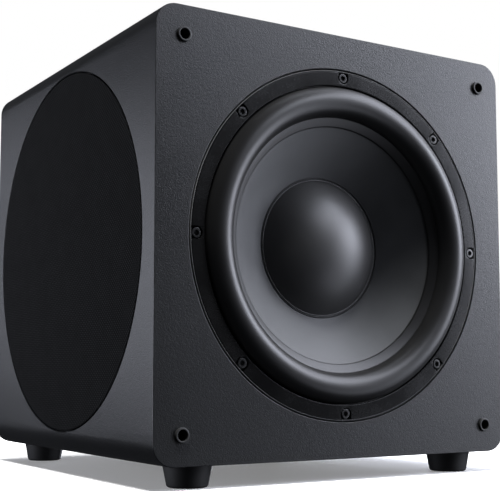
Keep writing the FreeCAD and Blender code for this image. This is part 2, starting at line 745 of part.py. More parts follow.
def woofer_lead():
    """A tube along straight runs joined by tangent arcs, each as large as its two runs allow."""
    corners = [Vector(*corner) for corner in LEAD_ROUTE]
    edges = []
    here = corners[0]
    for before, corner, after in zip(corners, corners[1:], corners[2:]):
        arriving = (corner - before).normalize()
        leaving = (after - corner).normalize()
        half_turn = arriving.getAngle(leaving) / 2
        share = LEAD_ARC_SHARE * min((corner - before).Length, (after - corner).Length)
        radius = share / math.tan(half_turn)
        start = corner - arriving * share
        end = corner + leaving * share
        to_centre = (leaving - arriving).normalize()
        via = corner + to_centre * (radius / math.cos(half_turn) - radius)
        edges.append(Part.LineSegment(here, start).toShape())
        edges.append(Part.Arc(start, via, end).toShape())
        here = end
    edges.append(Part.LineSegment(here, corners[-1]).toShape())
    direction = (corners[1] - corners[0]).normalize()
    section = Part.Wire(Part.makeCircle(LEAD_RADIUS, corners[0], direction))
    return Part.Wire(edges).makePipeShell([section], True, False)


# --- Passive radiators and side grilles ---


def radiator_frame(side):
    wall_inner, wall_outer = RADIATOR_WALL
    ledge_near, ledge_far = RADIATOR_LEDGE_DEPTHS
    profile = [
        (wall_inner, GRILLE_RECESS),
        (RADIATOR_FLANGE_RADIUS, GRILLE_RECESS),
        (RADIATOR_FLANGE_RADIUS, GRILLE_RECESS + RADIATOR_FLANGE_THICKNESS),
        (wall_outer, GRILLE_RECESS + RADIATOR_FLANGE_THICKNESS),
        (wall_outer, ledge_far),
        (RADIATOR_LEDGE_INNER, ledge_far),
        (RADIATOR_LEDGE_INNER, ledge_near),
        (wall_inner, ledge_near),
    ]
    cuts = []
    for place in circle_places(SCREW_COUNT, RADIATOR_SCREW_CIRCLE):
        cuts.append(disc(AMP_SCREW_RADIUS + FIT, 0, PANEL, place))
        cuts.append(disc(RADIATOR_SCREW_HEAD_RADIUS + FIT, 0, RADIATOR_SCREW_HEAD_DEPTH, place))
    return seated(turned(profile).cut(cuts), SIDE_SEATS[side])


def radiator_screws():
    screws = []
    head_seat = RADIATOR_SCREW_HEAD_DEPTH
    for seat in SIDE_SEATS.values():
        for place in circle_places(SCREW_COUNT, RADIATOR_SCREW_CIRCLE):
            head = disc(RADIATOR_SCREW_HEAD_RADIUS, GRILLE_RECESS + FIT, head_seat, place)
            shank = disc(AMP_SCREW_RADIUS, head_seat, head_seat + RADIATOR_SCREW_LENGTH, place)
            screws.append(seated(head.fuse(shank), seat))
    return group(screws)


def radiator_surround(side):
    """A half roll that hangs inward, away from the grille."""
    inner, outer = RADIATOR_ROLL
    middle = (inner + outer) / 2
    ledge = RADIATOR_LEDGE_DEPTHS[0]
    profile = [
        (RADIATOR_WALL[0] - FIT, ledge),
        (RADIATOR_WALL[0] - FIT, ledge - SKIN),
        (outer - SKIN, ledge - SKIN),
        (inner + SKIN, ledge - SKIN, (middle, RADIATOR_ROLL_DEPTH - SKIN)),
        (RADIATOR_CONE_RADIUS - RADIATOR_SURROUND_LAP, ledge - SKIN),
        (RADIATOR_CONE_RADIUS - RADIATOR_SURROUND_LAP, ledge),
        (inner, ledge),
        (outer, ledge, (middle, RADIATOR_ROLL_DEPTH)),
    ]
    return seated(turned(profile), SIDE_SEATS[side])


def radiator_cone(side):
    """A stiff dished disc."""
    rim = RADIATOR_LEDGE_DEPTHS[0]
    centre = RADIATOR_CONE_CENTRE_DEPTH
    profile = [
        (0, centre),
        (RADIATOR_CONE_FLAT, centre),
        (RADIATOR_CONE_RADIUS - RADIATOR_CONE_RIM, rim),
        (RADIATOR_CONE_RADIUS, rim),
        (RADIATOR_CONE_RADIUS, rim + RADIATOR_CONE_THICKNESS),
        (RADIATOR_CONE_RADIUS - RADIATOR_CONE_RIM, rim + RADIATOR_CONE_THICKNESS),
        (RADIATOR_CONE_FLAT, centre + RADIATOR_CONE_THICKNESS),
        (0, centre + RADIATOR_CONE_THICKNESS),
    ]
    return seated(turned(profile), SIDE_SEATS[side])


def radiator_weight(side):
    near = RADIATOR_CONE_CENTRE_DEPTH + RADIATOR_CONE_THICKNESS
    weight = disc(RADIATOR_WEIGHT_RADIUS, near, near + RADIATOR_WEIGHT_THICKNESS)
    return seated(weight, SIDE_SEATS[side])


def grille_frame(side):
    """A moulded ring with pegs on its back."""
    outer = GRILLE_RADIUS - CLOTH_THICKNESS
    body = ring(GRILLE_FRAME_INNER, outer, CLOTH_THICKNESS, GRILLE_FRAME_BACK)
    for place in circle_places(PEG_COUNT, PEG_CIRCLE, PEG_FIRST_ANGLE):
        peg = disc(PEG_RADIUS, CLOTH_THICKNESS, GRILLE_FRAME_BACK + PEG_LENGTH, place)
        body = body.fuse(peg)
    return seated(body.removeSplitter(), SIDE_SEATS[side])


def grille_cloth(side):
    """Cloth stretched over the frame and turned down round its edge."""
    face = disc(GRILLE_RADIUS, 0, CLOTH_THICKNESS)
    edge = ring(GRILLE_RADIUS - CLOTH_THICKNESS, GRILLE_RADIUS, 0, GRILLE_FRAME_BACK - 1)
    return seated(face.fuse(edge).removeSplitter(), SIDE_SEATS[side])


# --- Amplifier ---


def amp_screw_places():
    steps = (-1, 0, 1)
    rim = [(sx, sz) for sx in steps for sz in steps if (sx, sz) != (0, 0)]
    return [(sx * AMP_SCREW_OFFSET, MID + sz * AMP_SCREW_OFFSET) for sx, sz in rim]


def amp_plate():
    body = plate((AMP_PLATE, AMP_PLATE), (AMP_PLATE_BACK, REAR), (0, MID), AMP_PLATE_CORNER)
    through = (AMP_PLATE_BACK, REAR)
    cuts = [rod(AMP_SCREW_RADIUS + FIT, through, place) for place in amp_screw_places()]
    cuts += [rod(BUSH_RADIUS + FIT, through, place) for place in (LEVEL_PLACE, CROSSOVER_PLACE)]
    cuts += [rod(JACK_RADIUS + FIT, through, place) for place in JACK_PLACES]
    cuts.append(plate(SLIDER_SLOT, through, PHASE_PLACE))
    cuts.append(plate(grown(INLET_BODY), through, INLET_PLACE))
    cuts.append(plate(grown(ROCKER_BODY), through, ROCKER_PLACE))
    return body.cut(cuts)


def grown(size):
    """A hole's size, with room all round for what fills it."""
    return (size[0] + 2 * FIT, size[1] + 2 * FIT)


def amp_gasket():
    span = (AMP_SEAT, AMP_PLATE_BACK)
    body = plate((AMP_PLATE, AMP_PLATE), span, (0, MID), AMP_PLATE_CORNER)
    cuts = [plate((AMP_CUTOUT, AMP_CUTOUT), span, (0, MID), AMP_PLATE_CORNER)]
    cuts += [rod(AMP_SCREW_RADIUS + FIT, span, place) for place in amp_screw_places()]
    return body.cut(cuts)


def amp_screws():
    screws = []
    for place in amp_screw_places():
        head = rod(AMP_SCREW_HEAD_RADIUS, (REAR, REAR + AMP_SCREW_HEAD_HEIGHT), place)
        shank = rod(AMP_SCREW_RADIUS, (REAR - AMP_SCREW_LENGTH, REAR), place)
        screws.append(head.fuse(shank))
    return group(screws)


def amp_enclosure():
    """An airtight box, open at the rear, that closes against the plate."""
    outside = plate((AMP_BOX, AMP_BOX), (AMP_BOX_FRONT, AMP_PLATE_BACK), (0, MID), AMP_PLATE_CORNER)
    room = AMP_BOX - 2 * AMP_BOX_WALL
    inside_span = (AMP_BOX_FRONT + AMP_BOX_WALL, AMP_PLATE_BACK)
    return outside.cut(plate((room, room), inside_span, (0, MID), AMP_PLATE_CORNER - AMP_BOX_WALL))


def amp_board():
    """The circuit board with what is soldered to it: capacitors, chokes and a heat spreader."""
    board = plate((BOARD, BOARD), (BOARD_Y, BOARD_Y + BOARD_THICKNESS), (0, MID))
    front = (BOARD_Y - BOARD_PARTS_HEIGHT, BOARD_Y)
    for place in CAPACITOR_PLACES:
        board = board.fuse(rod(CAPACITOR_RADIUS, front, place))
    for place in CHOKE_PLACES:
        board = board.fuse(rod(CHOKE_RADIUS, (BOARD_Y - CHOKE_HEIGHT, BOARD_Y), place))
    board = board.fuse(plate(SPREADER_SIZE, front, SPREADER_PLACE))
    through = (BOARD_Y, BOARD_Y + BOARD_THICKNESS)
    return board.cut([rod(AMP_SCREW_RADIUS, through, place) for place in standoff_places()])


def standoff_places():
    return [(sx * STANDOFF_OFFSET, MID + sz * STANDOFF_OFFSET) for sx in (-1, 1) for sz in (-1, 1)]


def board_standoffs():
    span = (BOARD_Y + BOARD_THICKNESS, AMP_PLATE_BACK)
    return group([rod(STANDOFF_RADIUS, span, place) for place in standoff_places()])


def mains_transformer():
    """A ring-core transformer on the plate."""
    inner, outer = TRANSFORMER_RADII
    span = (AMP_PLATE_BACK - TRANSFORMER_HEIGHT, AMP_PLATE_BACK)
    body = rod(outer, span, TRANSFORMER_PLACE)
    rims = [edge for edge in body.Edges if edge.Curve.TypeId == "Part::GeomCircle"]
    body = body.makeFillet(TRANSFORMER_EDGE, rims)
    return body.cut(rod(inner, span, TRANSFORMER_PLACE))


def mains_inlet():
    """A three-pin appliance inlet. Its pins end short of the mouth."""
    flange_front = REAR + INLET_FLANGE_THICKNESS
    flange = plate(INLET_FLANGE, (REAR, flange_front), INLET_PLACE, INLET_CORNER)
    body = plate(INLET_BODY, (REAR - INLET_DEPTH, REAR), INLET_PLACE)
    floor = flange_front - INLET_MOUTH_DEPTH
    mouth = plate(INLET_MOUTH, (floor, flange_front), INLET_PLACE, INLET_CORNER)
    shell = flange.fuse(body).cut(mouth)
    x, z = INLET_PLACE
    for offset in (-1, 0, 1):
        rise = INLET_EARTH_RISE if offset == 0 else -INLET_EARTH_RISE
        place = (x + offset * INLET_PIN_SPACING, z + rise)
        shell = shell.fuse(plate(INLET_PIN, (floor, floor + INLET_PIN_LENGTH), place))
    return shell


def line_jacks():
    jacks = []
    for place in JACK_PLACES:
        flange = rod(JACK_FLANGE_RADIUS, (REAR, REAR + JACK_FLANGE_THICKNESS), place)
        back = rod(JACK_FLANGE_RADIUS, (AMP_PLATE_BACK - JACK_BODY_LENGTH, AMP_PLATE_BACK), place)
        sleeve = rod(JACK_RADIUS, (AMP_PLATE_BACK, REAR + REAR_PROUD), place)
        bore = rod(JACK_BORE, (JACK_BORE_END, REAR + REAR_PROUD), place)
        jacks.append(flange.fuse(back).fuse(sleeve).cut(bore))
    return group(jacks)


def control_housings():
    """The fixed bodies behind the controls: two potentiometers, the slide switch, the rocker's frame."""
    bodies = []
    pot_front = AMP_PLATE_BACK - POT_DEPTH
    for place in (LEVEL_PLACE, CROSSOVER_PLACE):
        can = rod(POT_RADIUS, (pot_front, AMP_PLATE_BACK), place)
        bush = rod(BUSH_RADIUS, (AMP_PLATE_BACK, REAR), place)
        bore = rod(SHAFT_RADIUS + RUNNING_FIT, (pot_front + POT_FLOOR, REAR), place)
        bodies.append(can.fuse(bush).cut(bore))
    slide = plate(SLIDER_BODY, (AMP_PLATE_BACK - SLIDER_BODY_DEPTH, AMP_PLATE_BACK), PHASE_PLACE)
    track = plate(SLIDER_TRACK, (AMP_PLATE_BACK - SLIDER_TRACK_DEPTH, AMP_PLATE_BACK), PHASE_PLACE)
    bodies.append(slide.cut(track))
    face = REAR + ROCKER_FRAME_THICKNESS
    frame = plate(ROCKER_FRAME, (REAR, face), ROCKER_PLACE, ROCKER_FRAME_CORNER)
    body = plate(ROCKER_BODY, (REAR - ROCKER_BODY_DEPTH, REAR), ROCKER_PLACE)
    well = plate(ROCKER_WELL, (REAR - ROCKER_WELL_DEPTH, face), ROCKER_PLACE)
    pin_sockets = rocker_axle(ROCKER_PIN_RADIUS + RUNNING_FIT, ROCKER_PIN_REACH + ROCKER_PIN_ROOM)
    bodies.append(frame.fuse(body).cut([well, pin_sockets]))
    return group(bodies)


def control_shaft(place):
    end = AMP_PLATE_BACK - POT_DEPTH + POT_FLOOR + SHAFT_END_GAP
    return rod(SHAFT_RADIUS, (end, REAR + KNOB_GAP + SHAFT_DEPTH), place)


def control_knob(place):
    """A ribbed knob with a pointer groove, bored for its shaft."""
    near, far = REAR + KNOB_GAP, REAR + REAR_PROUD
    knob = rod(KNOB_RADIUS, (near, far), place)
    knob = knob.cut(rod(SHAFT_RADIUS, (near, near + SHAFT_DEPTH), place))
    span = (near, far - KNOB_RIM)
    grooves = [rod(KNOB_GROOVE_RADIUS, span, rib) for rib in knob_rib_places(place)]
    pointer_place = (place[0], place[1] + POINTER_SIZE[1] / 2)
    pointer = plate(POINTER_SIZE, (far - POINTER_DEPTH, far), pointer_place)
    return knob.cut(grooves + [pointer])


def knob_rib_places(place):
    return [(place[0] + x, place[1] + z) for x, z in circle_places(KNOB_RIBS, KNOB_RADIUS)]


def phase_slider():
    """The slide switch's button, at the -X end of its travel."""
    x, z = PHASE_PLACE
    place = (x - SLIDER_TRAVEL / 2, z)
    return plate(SLIDER_SIZE, (AMP_PLATE_BACK - SLIDER_DEPTH, REAR + SLIDER_PROUD), place)


def rocker_axle(radius, reach):
    """A rod along the line that the rocker turns about."""
    x, z = ROCKER_PLACE
    return Part.makeCylinder(radius, 2 * reach, Vector(x, ROCKER_PIVOT_Y, z - reach), Z_AXIS)


def power_rocker():
    """A rocker with its -X end pressed in, and a round pin at each side that it turns on."""
    width, height = ROCKER_SIZE
    x, z = ROCKER_PLACE
    low = z - height / 2
    crown = REAR + ROCKER_CROWN
    root = REAR - ROCKER_ROOT_DEPTH
    corners = [
        Vector(x - width / 2, crown, low),
        Vector(x, crown - ROCKER_DIP, low),
        Vector(x + width / 2, crown, low),
        Vector(x + ROCKER_ROOT_WIDTH / 2, root, low),
        Vector(x - ROCKER_ROOT_WIDTH / 2, root, low),
    ]
    rocker = Part.Face(Part.makePolygon(corners + corners[:1])).extrude(Vector(0, 0, height))
    rocker = rocker.rotated(Vector(x, ROCKER_PIVOT_Y, z), Z_AXIS, ROCKER_TILT)
    return rocker.fuse(rocker_axle(ROCKER_PIN_RADIUS, ROCKER_PIN_REACH))


# --- All nodes ---


def nodes():
    made = {
        "front_baffle": front_baffle(),
        "rear_panel": rear_panel(),
        "top_panel": flat_panel(1),
        "bottom_panel": flat_panel(-1),
        "window_brace": window_brace(),
        "damping_wadding": damping_wadding(),
        "foot_screws": foot_screws(),
        "grille_sockets": grille_sockets(),
        "woofer_basket": woofer_basket(),
        "woofer_gasket": woofer_gasket(),
        "woofer_trim_ring": woofer_trim_ring(),
        "woofer_screws": woofer_screws(),
        "woofer_tee_nuts": woofer_tee_nuts(),
        "woofer_surround": woofer_surround(),
        "woofer_cone": woofer_cone(),
        "dust_cap": dust_cap(),
        "voice_coil_former": voice_coil_former(),
        "voice_coil_winding": voice_coil_winding(),
        "woofer_spider": woofer_spider(),
        "woofer_top_plate": woofer_top_plate(),
        "woofer_magnets": woofer_magnets(),
        "woofer_yoke": woofer_yoke(),
        "woofer_magnet_boot": woofer_magnet_boot(),
        "woofer_terminals": woofer_terminals(),
        "woofer_lead": woofer_lead(),
        "radiator_screws": radiator_screws(),
        "amp_plate": amp_plate(),
        "amp_gasket": amp_gasket(),
        "amp_screws": amp_screws(),
        "amp_enclosure": amp_enclosure(),
        "amp_board": amp_board(),
        "board_standoffs": board_standoffs(),
        "mains_transformer": mains_transformer(),
        "mains_inlet": mains_inlet(),
        "line_jacks": line_jacks(),
        "control_housings": control_housings(),
        "level_shaft": control_shaft(LEVEL_PLACE),
        "level_knob": control_knob(LEVEL_PLACE),
        "crossover_shaft": control_shaft(CROSSOVER_PLACE),
        "crossover_knob": control_knob(CROSSOVER_PLACE),
        "phase_slider": phase_slider(),
        "power_rocker": power_rocker(),
    }
    for name, place in foot_places().items():
        made["foot_" + name] = foot(place)
    for side in SIDE_SEATS:
        made[side + "_panel"] = side_panel(side)
        made[side + "_radiator_frame"] = radiator_frame(side)
        made[side + "_radiator_surround"] = radiator_surround(side)
        made[side + "_radiator_cone"] = radiator_cone(side)
        made[side + "_radiator_weight"] = radiator_weight(side)
        made[side + "_grille_frame"] = grille_frame(side)
        made[side + "_grille_cloth"] = grille_cloth(side)
    return made


def main():
    os.makedirs("parts", exist_ok=True)
    made = nodes()
    for name, shape in made.items():
        if not shape.isValid() or shape.Volume <= 0:
            print("CHECK", name, "valid", shape.isValid(), "volume", round(shape.Volume))
        shape.exportStep(os.path.join("parts", name + ".step"))
    print(len(made), "nodes")


main()
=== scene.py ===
import json
import math

import bmesh
import bpy
from mathutils import Matrix, Vector


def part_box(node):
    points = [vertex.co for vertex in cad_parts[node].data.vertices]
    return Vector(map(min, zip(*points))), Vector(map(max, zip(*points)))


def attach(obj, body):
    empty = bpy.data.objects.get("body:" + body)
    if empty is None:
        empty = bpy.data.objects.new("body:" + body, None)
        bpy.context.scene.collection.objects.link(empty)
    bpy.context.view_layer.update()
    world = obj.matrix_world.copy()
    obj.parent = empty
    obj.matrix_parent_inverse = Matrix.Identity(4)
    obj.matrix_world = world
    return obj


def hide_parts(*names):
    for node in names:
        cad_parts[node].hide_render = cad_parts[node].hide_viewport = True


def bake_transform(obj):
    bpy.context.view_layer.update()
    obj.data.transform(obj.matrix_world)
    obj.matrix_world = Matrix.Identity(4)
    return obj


# The looks of a powered subwoofer. Shapes are drawn in millimetres on a unit's own axis, as (x, y, depth) or
# (radius, depth), and a seat matrix places them in the row frame, in metres.

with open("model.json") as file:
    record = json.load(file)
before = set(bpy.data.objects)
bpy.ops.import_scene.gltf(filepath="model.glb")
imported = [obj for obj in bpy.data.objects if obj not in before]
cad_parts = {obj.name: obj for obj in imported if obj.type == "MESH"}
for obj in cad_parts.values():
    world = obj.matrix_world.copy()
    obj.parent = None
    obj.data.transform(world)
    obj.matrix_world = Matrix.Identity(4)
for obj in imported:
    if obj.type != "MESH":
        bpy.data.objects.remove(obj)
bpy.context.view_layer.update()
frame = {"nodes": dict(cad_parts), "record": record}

baffle_low, baffle_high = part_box("front_baffle")
cloth_low, cloth_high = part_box("left_grille_cloth")
FACE_Y = baffle_low.y
REAR_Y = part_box("rear_panel")[1].y
SIDE_X = baffle_high.x
MIDDLE_Z = (baffle_low.z + baffle_high.z) / 2
GRILLE_Y = (cloth_low.y + cloth_high.y) / 2

TURN = 2 * math.pi
FINE = 192  # points round a large circle
COARSE = 48  # points round a small one


# --- Seats ---


def seat(origin, right, up, inward):
    axes = Matrix((right, up, inward)).transposed().to_4x4()
    return Matrix.Translation(origin) @ axes @ Matrix.Scale(0.001, 4)


FRONT_SEAT = seat((0, FACE_Y, MIDDLE_Z), (1, 0, 0), (0, 0, 1), (0, 1, 0))
REAR_SEAT = seat((0, REAR_Y, MIDDLE_Z), (1, 0, 0), (0, 0, 1), (0, 1, 0))
FLOOR_SEAT = seat((0, 0, 0), (1, 0, 0), (0, 1, 0), (0, 0, 1))
SIDE_SEATS = {
    "left": seat((-SIDE_X, GRILLE_Y, MIDDLE_Z), (0, 1, 0), (0, 0, 1), (1, 0, 0)),
    "right": seat((SIDE_X, GRILLE_Y, MIDDLE_Z), (0, 1, 0), (0, 0, 1), (-1, 0, 0)),
}


def shifted(base, x, y):
    """The same seat with its axis moved to (x, y)."""
    return base @ Matrix.Translation((x, y, 0))


# --- Lines and rings of points ---


def bow(start, via, end, steps):
    """Points on the arc from start to end through via, both ends included."""
    (ax, ay), (bx, by), (cx, cy) = start, via, end
    twice = 2 * (ax * (by - cy) + bx * (cy - ay) + cx * (ay - by))
    aa, bb, cc = ax * ax + ay * ay, bx * bx + by * by, cx * cx + cy * cy
    ux = (aa * (by - cy) + bb * (cy - ay) + cc * (ay - by)) / twice
    uy = (aa * (cx - bx) + bb * (ax - cx) + cc * (bx - ax)) / twice
    radius = math.hypot(ax - ux, ay - uy)
    angles = [math.atan2(y - uy, x - ux) for x, y in (start, via, end)]
    turn = sum(math.remainder(b - a, TURN) for a, b in zip(angles, angles[1:]))
    found = [angles[0] + turn * i / steps for i in range(steps + 1)]
    return [(ux + radius * math.cos(a), uy + radius * math.sin(a)) for a in found]


def eased(corners, steps=4):
    """A closed line of (radius, depth) corners. A third value is the length rounded off on each side."""
    line = []
    for i, corner in enumerate(corners):
        here = Vector(corner[:2])
        if len(corner) == 2:
            line.append(tuple(here))
            continue
        before, after = Vector(corners[i - 1][:2]), Vector(corners[(i + 1) % len(corners)][:2])
        start = here + (before - here).normalized() * corner[2]
        end = here + (after - here).normalized() * corner[2]
        for k in range(steps + 1):
            t = k / steps
            line.append(tuple(start * (1 - t) ** 2 + here * (2 * t * (1 - t)) + end * t**2))
    return line


def circle(radius, depth, steps=FINE):
    """A ring, or a single point when its radius is nothing."""
    if radius == 0:
        return [(0, 0, depth)]
    angles = [TURN * i / steps for i in range(steps)]
    return [(radius * math.cos(a), radius * math.sin(a), depth) for a in angles]


def rectangle(half_width, half_height, corner, depth, straight=2, bend=6):
    """A ring round a rectangle with rounded corners."""
    arcs = []
    for quarter, (sx, sy) in enumerate(((1, 1), (-1, 1), (-1, -1), (1, -1))):
        cx, cy = sx * (half_width - corner), sy * (half_height - corner)
        turns = [TURN / 4 * (quarter + i / bend) for i in range(bend + 1)]
        arcs.append([Vector((cx + corner * math.cos(a), cy + corner * math.sin(a), depth)) for a in turns])
    ring = []
    for arc, following in zip(arcs, arcs[1:] + arcs[:1]):
        ring += arc
        ring += [arc[-1].lerp(following[0], i / straight) for i in range(1, straight)]
    return [tuple(point) for point in ring]


def polygon(sides, across, depth, steps=COARSE):
    """A ring round a regular polygon, by its width across the flats."""
    ring = []
    for i in range(steps):
        angle = TURN * i / steps
        offset = math.remainder(angle, TURN / sides)
        radius = across / 2 / math.cos(offset)
        ring.append((radius * math.cos(angle), radius * math.sin(angle), depth))
    return ring


def round_like(ring, radius, depth):
    """A circle whose points lie in the same directions as those of a ring."""
    return [(radius * x / math.hypot(x, y), radius * y / math.hypot(x, y), depth) for x, y, _ in ring]


# --- Meshes ---


def add_loft(bm, rings, place, loop=True):
    """Joins rings of points in turn. In a loop the last joins the first; otherwise both ends are closed."""
    rows = [[bm.verts.new(place @ Vector(point)) for point in ring] for ring in rings]
    following = rows[1:] + rows[:1] if loop else rows[1:]
    for a, b in zip(rows, following):
        count = max(len(a), len(b))
        for i in range(count if count > 1 else 0):
            j = (i + 1) % count
            corners = [a[i % len(a)], a[j % len(a)], b[j % len(b)], b[i % len(b)]]
            bm.faces.new(list(dict.fromkeys(corners)))
    if not loop:
        for end in (rows[0], rows[-1]):
            if len(end) > 2:
                bm.faces.new(end)


def add_lathe(bm, profile, place, steps=FINE):
    """Turns a closed line of (radius, depth) about the axis."""
    on_axis = profile[0][0] == 0 and profile[-1][0] == 0
    add_loft(bm, [circle(r, d, steps) for r, d in profile], place, loop=not on_axis)


def add_plug(bm, radius, low, high, place, steps):
    """A plain cylinder."""
    add_lathe(bm, [(0, low), (radius, low), (radius, high), (0, high)], place, steps)


def add_block(bm, low, high, place, bevel):
    """A box with chamfered edges at its far end."""
    half = ((high[0] - low[0]) / 2, (high[1] - low[1]) / 2)
    at = shifted(place, (high[0] + low[0]) / 2, (high[1] + low[1]) / 2)
    corner = min(half) * 0.2
    rings = [
        rectangle(half[0], half[1], corner, low[2]),
        rectangle(half[0], half[1], corner, high[2] - bevel),
        rectangle(half[0] - bevel, half[1] - bevel, corner * 0.8, high[2]),
    ]
    add_loft(bm, rings, at, loop=False)


def new_object(name, bm):
    bmesh.ops.remove_doubles(bm, verts=bm.verts, dist=2e-7)
    bmesh.ops.recalc_face_normals(bm, faces=bm.faces)
    mesh = bpy.data.meshes.new(name)
    bm.to_mesh(mesh)
    bm.free()
    obj = bpy.data.objects.new(name, mesh)
    bpy.context.scene.collection.objects.link(obj)
    return obj


def carve(obj, bm):
    """Cuts the closed shapes in bm from obj."""
    cutter = new_object("cutter", bm)
    cut = obj.modifiers.new("cut", "BOOLEAN")
    cut.operation = "DIFFERENCE"
    cut.solver = "EXACT"
    cut.object = cutter
    bpy.context.view_layer.update()
    graph = bpy.context.evaluated_depsgraph_get()
    carved = bpy.data.meshes.new_from_object(obj.evaluated_get(graph), depsgraph=graph)
    obj.modifiers.clear()
    obj.data = carved
    bpy.data.objects.remove(cutter)


def dress(obj, slot, body, replaced=(), angle=32, weighted=False):
    """Shades a finished mesh, gives it its material, and puts it on its body."""
    obj.data.shade_smooth()
    obj.data.set_sharp_from_angle(angle=math.radians(angle))
    if weighted:
        normals = obj.modifiers.new("normals", "WEIGHTED_NORMAL")
        normals.keep_sharp = True
        normals.weight = 100
    obj.data.materials.clear()
    obj.data.materials.append(MATERIALS[slot])
    if body:
        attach(obj, body)
    if replaced:
        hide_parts(*replaced)
    return obj


def lathe(name, profile, place, slot, body, replaced=(), steps=FINE, angle=32):
    bm = bmesh.new()
    add_lathe(bm, profile, place, steps)
    return dress(new_object(name, bm), slot, body, replaced, angle)


# --- Materials ---


def new_material(name):
    material = bpy.data.materials.new(name)
    material.use_nodes = True
    tree = material.node_tree
    place = tree.nodes.new("ShaderNodeTexCoord").outputs["Object"]
    return material, tree, tree.nodes["Principled BSDF"], place


def joined(tree, kind, links, **settings):
    """A new node with its inputs set or linked."""
    node = tree.nodes.new(kind)
    for key, value in settings.items():
        setattr(node, key, value)
    for key, value in links.items():
        if isinstance(value, bpy.types.NodeSocket):
            tree.links.new(value, node.inputs[key])
        else:
            node.inputs[key].default_value = value
    return node


def noise(tree, place, scale, detail=3.0):
    links = {"Vector": place, "Scale": scale, "Detail": detail, "Roughness": 0.5}
    return joined(tree, "ShaderNodeTexNoise", links).outputs["Fac"]


def remap(tree, value, span, result):
    links = {
        "Value": value,
        "From Min": span[0],
        "From Max": span[1],
        "To Min": result[0],
        "To Max": result[1],
    }
    return joined(tree, "ShaderNodeMapRange", links).outputs["Result"]


def blended(tree, share, dark, light):
    mix = tree.nodes.new("ShaderNodeMix")
    mix.data_type = "RGBA"
    tree.links.new(share, mix.inputs["Factor"])
    for socket in mix.inputs:
        if socket.type == "RGBA":
            socket.default_value = (*(dark if socket.name == "A" else light), 1)
    return next(socket for socket in mix.outputs if socket.type == "RGBA")


def arithmetic(tree, operation, first, second):
    node = tree.nodes.new("ShaderNodeMath")
    node.operation = operation
    for socket, value in zip(node.inputs, (first, second)):
        if isinstance(value, bpy.types.NodeSocket):
            tree.links.new(value, socket)
        else:
            socket.default_value = value
    return node.outputs["Value"]


def emboss(tree, shader, height, relief):
    """Bumps of a height in metres, as deep as relief."""
    bump = joined(tree, "ShaderNodeBump", {"Strength": 1.0, "Distance": relief, "Height": height})
    tree.links.new(bump.outputs["Normal"], shader.inputs["Normal"])


def set_sockets(shader, sockets):
    """Values for the shader's own sockets, by their names with _ for a space."""
    for socket, value in sockets.items():
        shader.inputs[socket.replace("_", " ")].default_value = value


def finish(
    name,
    dark,
    light,
    rough,
    grain=900.0,
    relief=2e-5,
    patch=14.0,
    spread=0.06,
    metallic=0.0,
    stretch=(1, 1, 1),
    **sockets,
):
    """Colour drifts in large patches. A fine grain gives the relief and unevenness of the gloss."""
    material, tree, shader, place = new_material(name)
    place = joined(tree, "ShaderNodeMapping", {"Vector": place, "Scale": stretch}).outputs["Vector"]
    drift = remap(tree, noise(tree, place, patch), (0.35, 0.65), (0, 1))
    fine = noise(tree, place, grain, detail=2.0)
    tree.links.new(blended(tree, drift, dark, light), shader.inputs["Base Color"])
    gloss = arithmetic(tree, "ADD", fine, arithmetic(tree, "MULTIPLY", drift, 0.5))
    rougher = remap(tree, gloss, (0.3, 1.2), (rough - spread, rough + spread))
    tree.links.new(rougher, shader.inputs["Roughness"])
    emboss(tree, shader, fine, relief)
    shader.inputs["Metallic"].default_value = metallic
    set_sockets(shader, sockets)
    return material


def cloth(name, dark, light, pitch, relief, rough=0.85, **sockets):
    """A plain weave that runs at 45 degrees to the vertical, on a sheet that faces along X."""
    material, tree, shader, place = new_material(name)
    links = {"Vector": place, "Rotation": (math.radians(45), 0, 0)}
    turned = joined(tree, "ShaderNodeMapping", links).outputs["Vector"]
    wander = noise(tree, place, 60.0)
    scale = TURN / 20 / pitch  # a wave texture of scale 1 has 20 / TURN bands in a metre
    threads = []
    for direction in ("Y", "Z"):
        links = {"Vector": turned, "Scale": scale, "Distortion": 0.15, "Detail": 1.0, "Detail Scale": 3.0}
        wave = joined(tree, "ShaderNodeTexWave", links, wave_type="BANDS", bands_direction=direction)
        threads.append(wave.outputs["Fac"])
    weave = arithmetic(tree, "MULTIPLY", *threads)
    shade = arithmetic(tree, "MULTIPLY", weave, remap(tree, wander, (0.3, 0.7), (0.6, 1.0)))
    tree.links.new(blended(tree, shade, dark, light), shader.inputs["Base Color"])
    tree.links.new(remap(tree, weave, (0, 1), (rough + 0.08, rough - 0.08)), shader.inputs["Roughness"])
    emboss(tree, shader, weave, relief)
    set_sockets(shader, sockets)
    return material


def grey(level, tint=0.0):
    """A grey of a brightness. The tint is a share of blue added to it, with half as much green."""
    return (level, level * (1 + tint / 2), level * (1 + tint))


